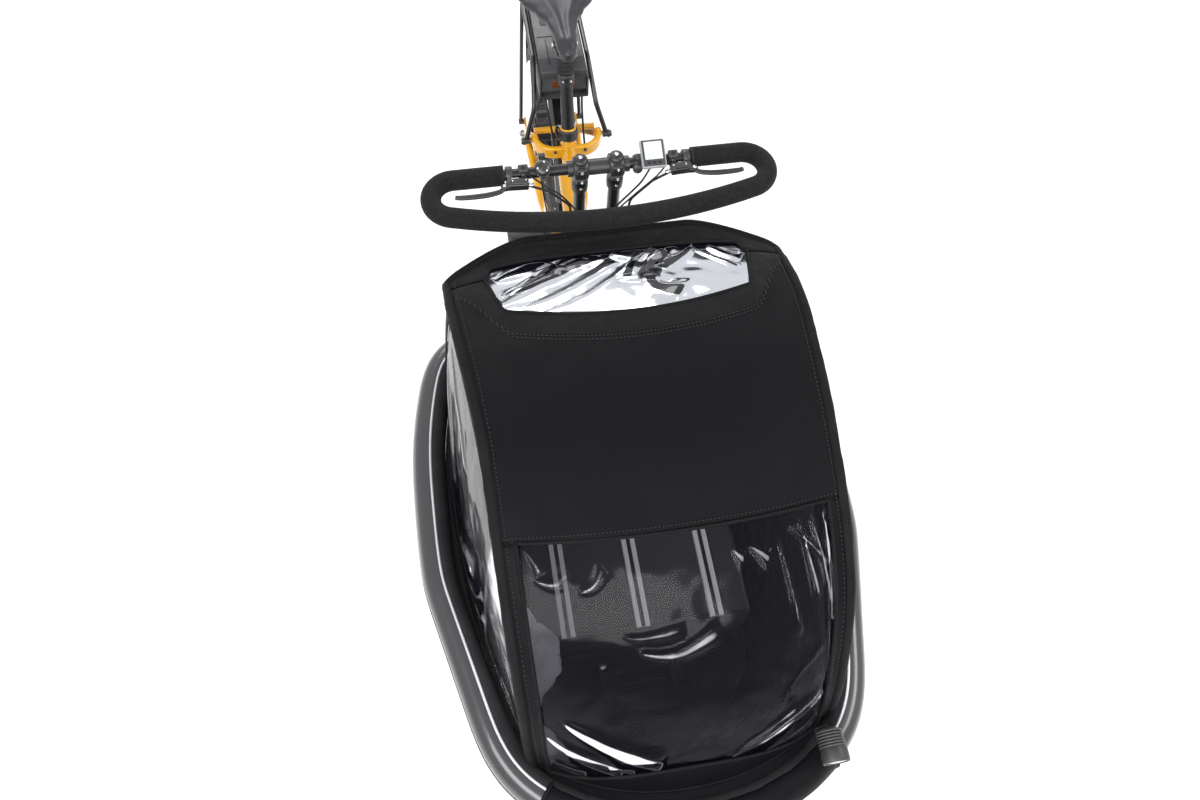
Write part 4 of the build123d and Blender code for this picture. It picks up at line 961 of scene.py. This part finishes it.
def saddle():
    box = node_box("saddle")
    piece = Piece("saddle_cushion", "rear_frame", "saddle_cover", ("saddle",))
    length, wide, around = box.high.y - box.low.y, box.high.x / SADDLE_HALF, 96

    def width(t):
        for (a, x), (b, y) in zip(SADDLE_STATIONS, SADDLE_STATIONS[1:]):
            if t <= b:
                share = (t - a) / (b - a)
                return wide * (x + (y - x) * (0.6 * smooth_step(share) + 0.4 * share))
        return wide * SADDLE_STATIONS[-1][1]

    def skin(a, b):
        x, up = math.cos(2 * PI * a), math.sin(2 * PI * a)
        px, y = width(b) * math.copysign(abs(x) ** 0.8, x), box.low.y + 0.004 + (length - 0.008) * b
        nose, rear = smooth_step((0.16 - b) / 0.16), smooth_step((b - 0.70) / 0.30)
        top = box.high.z - 0.010 - 0.010 * nose + 0.005 * rear - 0.004 * math.sin(PI * b)
        edge = top - 0.013 - 0.006 * rear
        if up < 0:
            return V(px, y, edge - (0.016 + 0.008 * rear) * abs(up) ** 0.6)
        spread = 0.009 + 0.030 * smooth_step((b - 0.30) / 0.50)
        ridge = 0.0035 * math.exp(-((abs(px) - spread) / 0.009) ** 2) * smooth_step(b * 8)
        groove = 0.0040 * math.exp(-(px / (0.005 + 0.010 * b)) ** 2) * smooth_step((b - 0.10) / 0.2)
        return V(px, y, edge + (top - edge) * up ** 0.75
                 + (ridge - groove * smooth_step((1.02 - b) / 0.15)) * up)
    piece.grid(skin, around, 90, SADDLE, around=True)
    for t in (0.0, 1.0):
        ring = [skin(k / around, t) for k in range(around)]
        middle = sum(ring, V(0, 0, 0)) / around + V(0, 0.003 if t else -0.003, 0)
        fan = [(k, (k + 1) % around, around) for k in range(around)]
        piece.add(ring + [middle], fan if t else [(b, a, c) for a, b, c in fan], SADDLE)
    cushion = piece.build(merge=0.00005)
    hardware = Piece("saddle_rails", "rear_frame", "black_metal")
    base = V(0, node_box("seatpost_bellows").high.y - 0.020, box.high.z - SADDLE_DEPTH)
    for side in (-1, 1):
        path = [base + V(side * x, y, z) / 1000 for x, y, z in (
            (10, -52, 6), (18, -38, -4), (22, -20, -10), (22, 80, -10), (26, 125, -2), (32, 145, 6))]
        hardware.tube(curve_through(path), 0.0035, SATIN, 12)
    hardware.lathe(mm((0, -27), (8.5, -27), (9, -25), (9, 25), (8.5, 27), (0, 27)), base + V(0, 0.008, -0.010),
                   ACROSS, SATIN, 24)
    for side in (1, -1):
        hardware.bolt(base + V(side * 0.027, 0.008, -0.010), (side, 0, 0), 0.005)
    hardware.lathe(mm((12.5, -30), (12.2, 0), (15, 4), (15, 10), (0, 12)), base + V(0, 0.004, -0.012),
                   (0, 0.33, 1), SATIN, 28)
    hardware.build()
    return cushion


def post_details():
    """Ringed gaiter, collar bolts and the lever of the seat clamp."""
    box = node_box("seatpost_bellows")
    foot = seat_point(box.low.z + 0.005)
    rise = (box.high.z - box.low.z - 0.010) / SEAT_LEAN.z
    piece = Piece("seatpost_gaiter", "rear_frame", "rubber", ("seatpost_bellows",))
    profile = [(0.0165, 0.0)]
    for k in range(5):
        base = rise * k / 5
        profile += [(0.0172, base + 0.0008), (0.0200, base + rise * 0.07), (0.0204, base + rise * 0.10),
                    (0.0200, base + rise * 0.13), (0.0168, base + rise * 0.185)]
    profile.append((0.0150, rise))
    piece.lathe(profile, foot, SEAT_LEAN, RUBBER, 44)
    piece.build()
    collar = Piece("seatpost_collar", "rear_frame", "black_metal")
    top = foot - SEAT_LEAN * 0.001
    collar.lathe(mm((17.6, -26), (19.2, -25), (19.4, -20), (18.8, -18), (18.8, -16), (19.6, -14), (19.6, -3),
                    (18.8, 0), (16.5, 1)), top, SEAT_LEAN, SATIN, 44)
    for side in (-1, 1):
        collar.bolt(top - SEAT_LEAN * 0.010 + V(side * 0.009, -0.0172, 0.004), (side * 0.3, -1, 0.3), 0.0027)
    collar.build()
    box = node_box("seat_clamp")
    clamp = Piece("seat_clamp_cover", "rear_frame", "black_metal", ("seat_clamp",))
    at = seat_point(box.mid.z)
    tall = (box.high.z - box.low.z) / 2 - 0.006
    clamp.lathe([(0.0184, -tall), (0.0225, -tall), (0.0235, 0.002 - tall), (0.0235, tall - 0.003),
                 (0.0222, tall), (0.0184, tall), (0.0184, -tall)], at, SEAT_LEAN, SATIN, 44)
    clamp.block(at + V(0, 0.028, -0.006), (0.016, 0.016, 0.014), SATIN, 0.003)
    clamp.lathe(mm((0, -22), (4.5, -22), (5, -20), (5, 20), (4.5, 22), (0, 22)), at + V(0, 0.029, -0.006),
                ACROSS, BOLT, 18)
    path = curve_through([at + V(-0.021, 0.030, -0.006), at + V(-0.0265, 0.018, -0.002),
                          at + V(-0.0285, -0.002, 0.002), at + V(-0.026, -0.022, 0.004)])
    clamp.tube(path, [0.0050] * 6 + [0.0042] * (len(path) - 6), SATIN, 12, flat=0.7)
    clamp.build()


# ------------------------------------------------------------------ battery, rack and frame
def battery_details():
    low, high, mid = node_box("rack_battery")
    piece = Piece("battery_details", "rear_frame", "battery_case")
    seam_y, tilt = low.y + 0.125, (-0.34, 0, 0)
    back_y, back = (seam_y + high.y) / 2, high.y - seam_y
    for x in (-0.0543, 0.0543):
        piece.block(V(x, back_y, mid.z + 0.006), (0.0008, back - 0.02, 0.0016), RUBBER, 0.0003)
    piece.block(V(0, seam_y, high.z + 0.0002), (0.100, 0.0022, 0.0012), RUBBER, 0.0004)
    piece.block(V(0, back_y + 0.01, high.z + 0.0006), (0.072, back - 0.06, 0.0014), CASE, 0.0006)
    for x in (-0.030, 0.030):
        piece.block(V(x, seam_y - 0.052, high.z + 0.0004), (0.0018, 0.085, 0.0012), RUBBER, 0.0004)
    piece.block(V(0, low.y + 0.0045, low.z + 0.036), (0.060, 0.003, 0.018), AMBER, 0.0012, tilt)
    piece.block(V(0, low.y + 0.0105, low.z + 0.058), (0.094, 0.002, 0.014), PLASTIC, 0.0008, tilt)
    piece.lathe(mm((7, 0), (7, 2.2), (5.8, 3), (2, 3), (1.8, 1.2), (0, 1.2)),
                V(0.054, low.y + 0.060, mid.z + 0.008), ACROSS, BOLT, 20)
    piece.build()
    fit = Piece("rack_fittings", "rear_frame", "black_metal")
    foot = rack_foot()
    for side in (-1, 1):
        fit.bolt(V(side * (foot.x - 0.001), foot.y, foot.z), (side, 0, 0), 0.0058)
        fit.lathe(mm((8, -10), (9.6, -9), (9.6, -4), (8, -3)), V(side * foot.x, foot.y, foot.z),
                  (side, 0, 0), SATIN, 24)
    fit.build()


def rack_foot():
    """The outer end of the rack's left foot."""
    spots = [v.co for v in frame["nodes"]["rear_rack"].data.vertices]
    far = max(p.x for p in spots)
    tips = [p for p in spots if p.x > far - 0.0005]
    return V(far, sum(p.y for p in tips) / len(tips), sum(p.z for p in tips) / len(tips))


def frame_details():
    """Weld beads on the rear frame, and the two cables from the rack down to the yoke."""
    piece = Piece("frame_welds", "rear_frame", "frame_yellow")
    spin = SEAT_LEAN.normalized().to_track_quat("Z", "Y").to_matrix()
    bead = [0.0022 * (1 + 0.16 * math.sin(k * 5.1)) for k in range(60)]
    foot = rack_foot()
    for lift in (-0.018, 0.018):
        path = [seat_point(foot.z + lift) + spin @ V(x, y, 0) for x, y in circle(60, 0.0184)]
        piece.tube(path, bead, YELLOW, 8, closed=True)
    piece.lathe(mm((17.6, -12), (19.2, -11), (19.6, -2), (18.8, 0), (16, 0.5)),
                seat_point(node_box("main_frame").high.z - 0.006), SEAT_LEAN, YELLOW, 44)
    piece.build()
    lead = Piece("rack_cables", "rear_frame", "rubber")
    for side, shift in ((-1, 0), (1, 4)):
        path = curve_through([V(0, foot.y, foot.z) + V(x, y, z) / 1000 for x, y, z in (
            (side * 40, 118, 128), (side * 46, 70, 100), (side * 42, 26, 62), (side * 36 + shift, -20, 24),
            (side * 35 + shift, -50, 10))], 10)
        lead.tube(path, 0.0026, RUBBER, 8)
        lead.lathe(mm((4, -7), (4.2, 0), (3.4, 6)), path[-1], path[-2] - path[-1], SATIN, 12)
    lead.build()


# ------------------------------------------------------------------ wheels and drive
TREAD = 0.0022                            # height of the tread's blocks


def tyre(name, body, at, radius, width, blocks):
    """A treaded tyre turning about X."""
    piece = Piece(name + "_tread", body, "tyre", (name,))
    crown = radius - width / 2

    def skin(a, b):
        spin = 2 * PI * a
        around = math.radians(-138 + 276 * b)
        r = width / 2 - TREAD
        share = abs(around) / math.radians(70)
        if share < 1:
            row = math.sin(spin * blocks + (1.2 if around > 0 else -1.2) * share * 2.2)
            on_block = row > -0.45 and (abs(math.sin(around * 5.5)) > 0.28 or abs(around) < 0.07)
            r += TREAD * (1 if on_block else 0.15) * (1 - share ** 6)
        elif share < 1.35:
            r += 0.0008 * max(0, math.sin((share - 1) * 18))
        reach = crown + r * math.cos(around)
        return at + V(r * math.sin(around), reach * math.cos(spin), reach * math.sin(spin))
    piece.grid(skin, 360, 26, TYRE, around=True)
    piece.build()


def brake_rotor(piece, at):
    """A thin disc's outer ring and carrier, joined by six arms."""
    for inner, outer in ((65, 78), (40, 48)):
        piece.lathe(mm((inner, -0.9), (outer, -0.9), (outer, 0.9), (inner, 0.9), (inner, -0.9)), at, ACROSS,
                    STEEL, 60)
    for (y0, z0), (y1, z1) in zip(circle(6, 0.046), circle(6, 0.068, 0.35)):
        piece.tube([at + V(0, y0, z0), at + V(0, y1, z1)], 0.0018, STEEL, 8)


def wheels():
    """Tread, spoke nipples, valve and, in front, brake rotor of each wheel."""
    for name, body, spokes, blocks, rotor_x in (("rear", "rear_wheel", 24, 62, None),
                                                ("front_right", "front_wheel_right", 20, 48, 0.030),
                                                ("front_left", "front_wheel_left", 20, 48, -0.030)):
        low, high, _ = node_box(name + "_tyre")
        at = joint(body + "_spin")
        tyre(name + "_tyre", body, at, (high.z - low.z) / 2, high.x - low.x, blocks)
        rim = node_box(name + "_rim")
        well = (rim.high.z - rim.low.z) / 2 - 0.0128
        piece = Piece(name + "_wheel_details", body, "black_metal")
        for y, z in circle(spokes):
            out = V(0, y, z)
            piece.lathe(mm((3, 0), (2.8, 6), (1.8, 9)), at + out * well, -out, BOLT, 10)
        out = V(0, *circle(1, 1.0, 2 * PI * 2.5 / spokes)[0])
        piece.lathe(mm((3.2, 0), (3.2, 16), (4.2, 17), (4.2, 30), (2.6, 33), (0, 33)), at + out * well, -out,
                    RUBBER, 12)
        if rotor_x is not None:
            brake_rotor(piece, at + V(rotor_x, 0, 0))
        piece.build()


CHAINRING, COG = 0.0925, 0.0405           # radii of the chain's line
CHAIN_PITCH, TEETH = 0.0127, 44
TOOTH_ROOT, RING_INSIDE = 0.0868, 0.080


def chain_line(x, crank, rear):
    """The chain's loop as its pins, an even number of them."""
    reach = math.hypot(rear.y - crank.y, rear.z - crank.z)
    lean = math.atan2(rear.z - crank.z, rear.y - crank.y)
    spread = math.asin((CHAINRING - COG) / reach)
    path = []
    for centre, radius, start, stop, steps in (
            (crank, CHAINRING, lean + PI / 2 - spread, lean + PI * 3 / 2 + spread, 40),
            (rear, COG, lean - PI / 2 + spread, lean + PI / 2 - spread, 24)):
        for k in range(steps + 1):
            turn = start + (stop - start) * k / steps
            path.append(V(x, centre.y + radius * math.cos(turn), centre.z + radius * math.sin(turn)))
    loop = path + [path[0]]
    length = sum((b - a).length for a, b in zip(loop, loop[1:]))
    return evenly(loop, 2 * round(length / CHAIN_PITCH / 2))


def chain():
    x = node_box("chain").mid.x
    pins = chain_line(x, joint("crank_spin"), joint("rear_wheel_spin"))
    piece = Piece("chain_links", "rear_frame", "steel", ("chain",))
    for i, pin in enumerate(pins):
        ahead = pins[(i + 1) % len(pins)]
        step = ahead - pin
        off = 0.0032 if i % 2 else 0.0022
        for side in (-1, 1):
            piece.block(pin.lerp(ahead, 0.5) + V(side * off, 0, 0), (0.0009, 0.0182, 0.0072), STEEL, 0.0004,
                        (math.atan2(step.z, step.y), 0, 0), 1)
        piece.lathe(mm((2.2, -3.6), (2.2, 3.6), (0, 3.7)), pin, ACROSS, BOLT, 8)
    piece.build()


def chainring():
    crank = joint("crank_spin")
    ring_at = V(node_box("chain").mid.x, crank.y, crank.z)
    piece = Piece("chainring_teeth", "crank", "aluminium")
    turns = circle(TEETH * 4)
    outline = [CHAINRING if k % 4 in (1, 2) else TOOTH_ROOT for k in range(TEETH * 4)]
    verts = []
    for offset in (-0.0012, 0.0012):
        for radii in (outline, [RING_INSIDE] * len(outline)):
            verts += [ring_at + V(offset, r * y, r * z) for r, (y, z) in zip(radii, turns)]
    n = len(outline)
    faces = []
    for k in range(n):
        m = (k + 1) % n
        faces += [(k, m, n + m, n + k), (2 * n + m, 2 * n + k, 3 * n + k, 3 * n + m),
                  (m, k, 2 * n + k, 2 * n + m)]
    piece.add(verts, faces, ALLOY, False)
    for y, z in circle(5, 0.070, 0.3):
        piece.bolt(ring_at + V(-0.0016, y, z), (-1, 0, 0), 0.0042, BOLT, 0.4)
    for side in (-1, 1):
        piece.lathe(mm((8.5, 0), (8.5, 2), (6, 2.8), (0, 2.8)), V(side * 0.0733, crank.y, crank.z),
                    (side, 0, 0), BOLT, 20)
    piece.build()


def pedals():
    for word in ("right", "left"):
        low, high, mid = node_box("pedal_" + word)
        piece = Piece("pedal_plate_" + word, "pedal_" + word, "black_plastic", ("pedal_" + word,))
        wide, deep, tall = high - low
        for end in (-1, 1):
            piece.block(mid + V(end * (wide / 2 - 0.006), 0, 0), (0.012, deep, tall * 0.86), PLASTIC, 0.004)
            piece.block(mid + V(0, end * (deep / 2 - 0.007), 0), (wide, 0.014, tall * 0.86), PLASTIC, 0.004)
        for end in (-1, 1):
            piece.block(mid + V(0, end * 0.018, 0), (wide - 0.004, 0.010, tall * 0.7), PLASTIC, 0.003)
            piece.block(mid + V(0, end * (deep / 2 + 0.0002), 0), (wide * 0.6, 0.0016, 0.008), AMBER, 0.0007)
            for k in range(7):
                for lift in (-1, 1):
                    spot = V(wide * (0.8 * k / 6 - 0.40), end * (deep / 2 - 0.007), lift * tall * 0.44)
                    piece.block(mid + spot, (0.004, 0.010, 0.0026), RUBBER, 0.0010, segments=1)
        half = wide / 2
        piece.lathe([(0.0074, -half), (0.0105, -half), (0.0115, 0.004 - half), (0.0115, half - 0.004),
                     (0.0105, half), (0.0074, half)], mid, ACROSS, PLASTIC, 28)
        piece.build()


# ------------------------------------------------------------------ headlamp
def lamp():
    low, high, mid = node_box("headlamp")
    piece = Piece("headlamp_unit", "front_module", "lamp_housing", ("headlamp",))
    radius, half = (high.x - low.x) / 2, (high.y - low.y) / 2
    at = V(mid.x, mid.y, high.z - radius)

    def turned(profile, mat):
        """profile's radii are shares of the lamp's radius."""
        piece.lathe([(max(share * radius, 0.00001), height) for share, height in profile], at, (0, -1, 0),
                    mat, 44)
    turned([(0, -half), (0.55, -half), (0.72, 0.004 - half), (0.74, 0.012 - half), (0.84, -0.004),
            (0.97, 0.006), (1, 0.012), (1, half - 0.003), (0.96, half), (0.88, half), (0.86, half - 0.004)],
           PLASTIC)
    for k in range(6):
        z = -half + 0.006 + 0.0052 * k
        outer = 0.93 + 0.01 * k
        turned([(0.6, z - 0.0012), (outer, z - 0.0012), (outer, z + 0.0012), (0.6, z + 0.0012)], PLASTIC)
    turned([(0.84, half - 0.004), (0.60, half - 0.012), (0.2, half - 0.018), (0, half - 0.018)], REFLECTOR)
    turned([(0.87, half - 0.003), (0.7, half - 0.0012), (0.35, half - 0.0004), (0, half)], LENS)
    post = at + V(0, 0.002, 0)
    under = post - V(0, 0, radius + 0.001)
    piece.lathe([(0.0, 0.0001), (0.0105, 0.0001), (0.0105, 0.0030), (0.0070, 0.005), (0.0062, 0.010),
                 (0.0062, high.z - radius - low.z - 0.02)], V(post.x, post.y, low.z), UP, ENAMEL, 24)
    piece.block(under, (0.018, 0.016, 0.008), ENAMEL, 0.002)
    piece.bolt(under - V(0.009, 0, 0), (-1, 0, 0), 0.003)
    path = curve_through([at + V(0, half - 0.002, 0), at + V(0, half + 0.006, -0.004),
                          at + V(-0.012, 0.036, -0.030), V(mid.x - 0.016, at.y + 0.030, low.z + 0.006)])
    piece.tube(path, 0.0020, RUBBER, 8)
    piece.build()


# ------------------------------------------------------------------ inside of the cabin
BENCH_EDGE, BENCH_TOP = 0.238, 0.332      # half width and height of the bench's trim


def footwell(front_y):
    """Two long ribs with their screws and five short ones, in front of the bench at front_y."""
    low = node_box("cabin_tub").low
    ribs = Piece("footwell_ribs", "front_module", "tub_plastic")
    floor_z = low.z + 0.006
    for x in (-0.088, 0.078):
        path = [V(x, y, floor_z + 0.002) for y in (front_y - 0.018, front_y - 0.10, low.y + 0.285)]
        ribs.tube(path, 0.011, TUB, 12, flat=0.45, up=V(0, 0, 1))
        ribs.lathe(mm((13, 0), (13, 3), (9.5, 6.5), (4, 8), (0, 8.2)), V(x, front_y - 0.030, floor_z + 0.004),
                   UP, BOLT, 24)
    for k in range(5):
        ribs.block(V(0, front_y - 0.045 - 0.030 * k, floor_z + 0.001), (0.120, 0.012, 0.004), TUB, 0.0018)
    ribs.build()


def bench_trim(bench):
    """Edge rolls of the bench, and the screws, lips and slots of its rails; each slot is filled to just under
    the rail's top with a near black block, as painted shade.
    """
    seat = Piece("bench_trim", "front_module", "bench_plastic")
    for x in (-BENCH_EDGE, BENCH_EDGE):
        seat.tube([V(x, bench.low.y + 0.004, BENCH_TOP), V(x, bench.mid.y - 0.03, BENCH_TOP)], 0.004,
                  GREY_PLASTIC, 10)
    seat.tube([V(x, bench.low.y + 0.003, BENCH_TOP - 0.0025) for x in (-BENCH_EDGE, BENCH_EDGE)], 0.0045,
              GREY_PLASTIC, 12)
    for word in ("right", "middle", "left"):
        low, high, mid = node_box("bench_rail_" + word)
        length, top = high.y - low.y, high.z
        for end in (low.y + 0.012, high.y - 0.012):
            seat.bolt(V(mid.x, end, top - 0.006), UP, 0.0042, BOLT, 0.5)
        # A near black block fills the rail's slot to just under its top: painted shade in the slot.
        seat.block(V(mid.x, mid.y, top - 0.0036), (0.0088, length - 0.004, 0.0070), RAIL_SLOT_PAINTED_SHADE, 0.0003)
        for lip in (-0.0060, -0.0142, 0.0060, 0.0142):
            seat.block(V(mid.x + lip, mid.y, top + 0.0003), (0.0016, length - 0.002, 0.0014), RAIL, 0.0005)
    seat.build()


def inner_flap():
    """A crumpled strip of film that hangs inside the right side window's front edge; its pale colour is a
    painted reflection of glare.
    """
    piece = Piece("inner_flap", "front_module", "clear_film")

    def flap(a, b):
        p = V(-0.266 + 0.045 * b * (1 + 0.6 * math.sin(a * 9)) - 0.01 * a,
              -0.74 - 0.22 * a - 0.02 * b, 0.86 - 0.26 * a - 0.13 * b)
        return p + V(1, 0.3, 0) * (0.010 * noise.noise(p * 22) + 0.006 * noise.noise(p * 60)) * min(1, b * 4)
    piece.grid(flap, 60, 16, PAINTED_GLARE_FILM)
    return piece.build(solid=0.0006)


def front_apron():
    """The canopy's foot, drawn over the front of the bumper and down its outside."""
    low, high, _ = node_box("bumper_ring")
    piece = Piece("canopy_apron", "front_module", "canopy_fabric")
    columns = 60
    middle = ring_path(0.033, 0)
    ids = sorted((i for i, p in enumerate(middle) if p.y < low.y + 0.118), key=lambda i: middle[i].x)
    rows = [[roof(-1 + 2 * k / columns, ROOF_ROWS) for k in range(columns + 1)]]
    for inset, z in ((0.058, high.z - 0.008), (0.047, high.z + 0.004), (0.030, high.z + 0.0055),
                     (0.014, high.z - 0.004), (0.002, high.z - 0.022), (-0.0035, high.z - 0.046),
                     (-0.0035, high.z - 0.070), (0.004, low.z + 0.010), (0.012, low.z + 0.001)):
        path = ring_path(inset, z)
        line = [path[i] for i in ids]
        rows.append([along(line, k / columns) for k in range(columns + 1)])

    def skin(a, b):
        column = min(int(a * columns + 0.5), columns)
        p = along([row[column] for row in rows], b)
        pleat = 0.0022 * max(0, math.sin(a * 46)) ** 3 * math.exp(-((b - 0.15) / 0.16) ** 2)
        return p + V(0, -1, 0.5) * (cloth(p, 0.0014, 9) + pleat)
    piece.grid(skin, columns, 36, FABRIC)
    piece = piece.build(solid=0.0016)
    hem = Piece("apron_hem", "front_module", "canopy_fabric")
    hem.tube([p + V(0, 0, 0.001) for p in rows[-1]], 0.0035, BAND, 8)
    hem.tube([p + V(0, -0.001, 0.001) for p in rows[0]], 0.0018, BAND, 6)
    for column in (0, columns):
        hem.tube([row[column] for row in rows], 0.0040, BAND, 8)
    return piece, hem.build()


NODE_FINISH = (
    (YELLOW, "main_frame rear_stays"),
    (SATIN, "rear_rim rear_hub seatpost seat_clamp crankset front_right_rim front_left_rim handlebar"),
    (SATIN, "handlebar_clamp_right handlebar_clamp_left brake_lever_right brake_lever_left"),
    (ENAMEL, "rear_rack front_frame handlebar_posts bell"),
    (PLASTIC, "battery_dock pedal_right pedal_left headlamp"),
    (ALLOY, "front_right_hub front_left_hub canopy_hoop_middle canopy_hoop_rear"),
    (RUBBER, "seatpost_bellows brake_cable_right brake_cable_left"),
    (TYRE, "rear_tyre front_right_tyre front_left_tyre"),
    (RAIL, "bench_rail_right bench_rail_middle bench_rail_left"),
    (GLOSS, "rear_fender chain_guard"), (BOLT, "rear_axle"), (CASE, "rack_battery"), (RED, "rear_light"),
    (STEEL, "chain"), (TUB, "cabin_tub"), (GREY_PLASTIC, "bench"), (FOAM, "foam_grip"),
    (SCREEN_CASE, "display"), (SADDLE, "saddle"))

stage()
studio()
camera()
for mat, node_names in NODE_FINISH:
    for node_name in node_names.split():
        paint(node_name, mat)
RING = ring_line()
side_panes = [side_film(side, word) for side, word in ((-1, "right"), (1, "left"))]
skin, sewn_on = canopy_skin(), [canopy_trim(), canopy_stitching()]
front_pane, roof_pane = front_film(), roof_film()
bumper_pad, skirt = bumper()
apron, hem = front_apron()
bench_box = node_box("bench")
footwell(bench_box.low.y)
bench_trim(bench_box)
flap = inner_flap()
clamps()
bell()
display()
levers()
grip()
cushion = saddle()
post_details()
battery_details()
frame_details()
wheels()
chain()
chainring()
pedals()
lamp()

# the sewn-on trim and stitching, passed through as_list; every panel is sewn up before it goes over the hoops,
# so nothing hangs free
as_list(sewn_on)
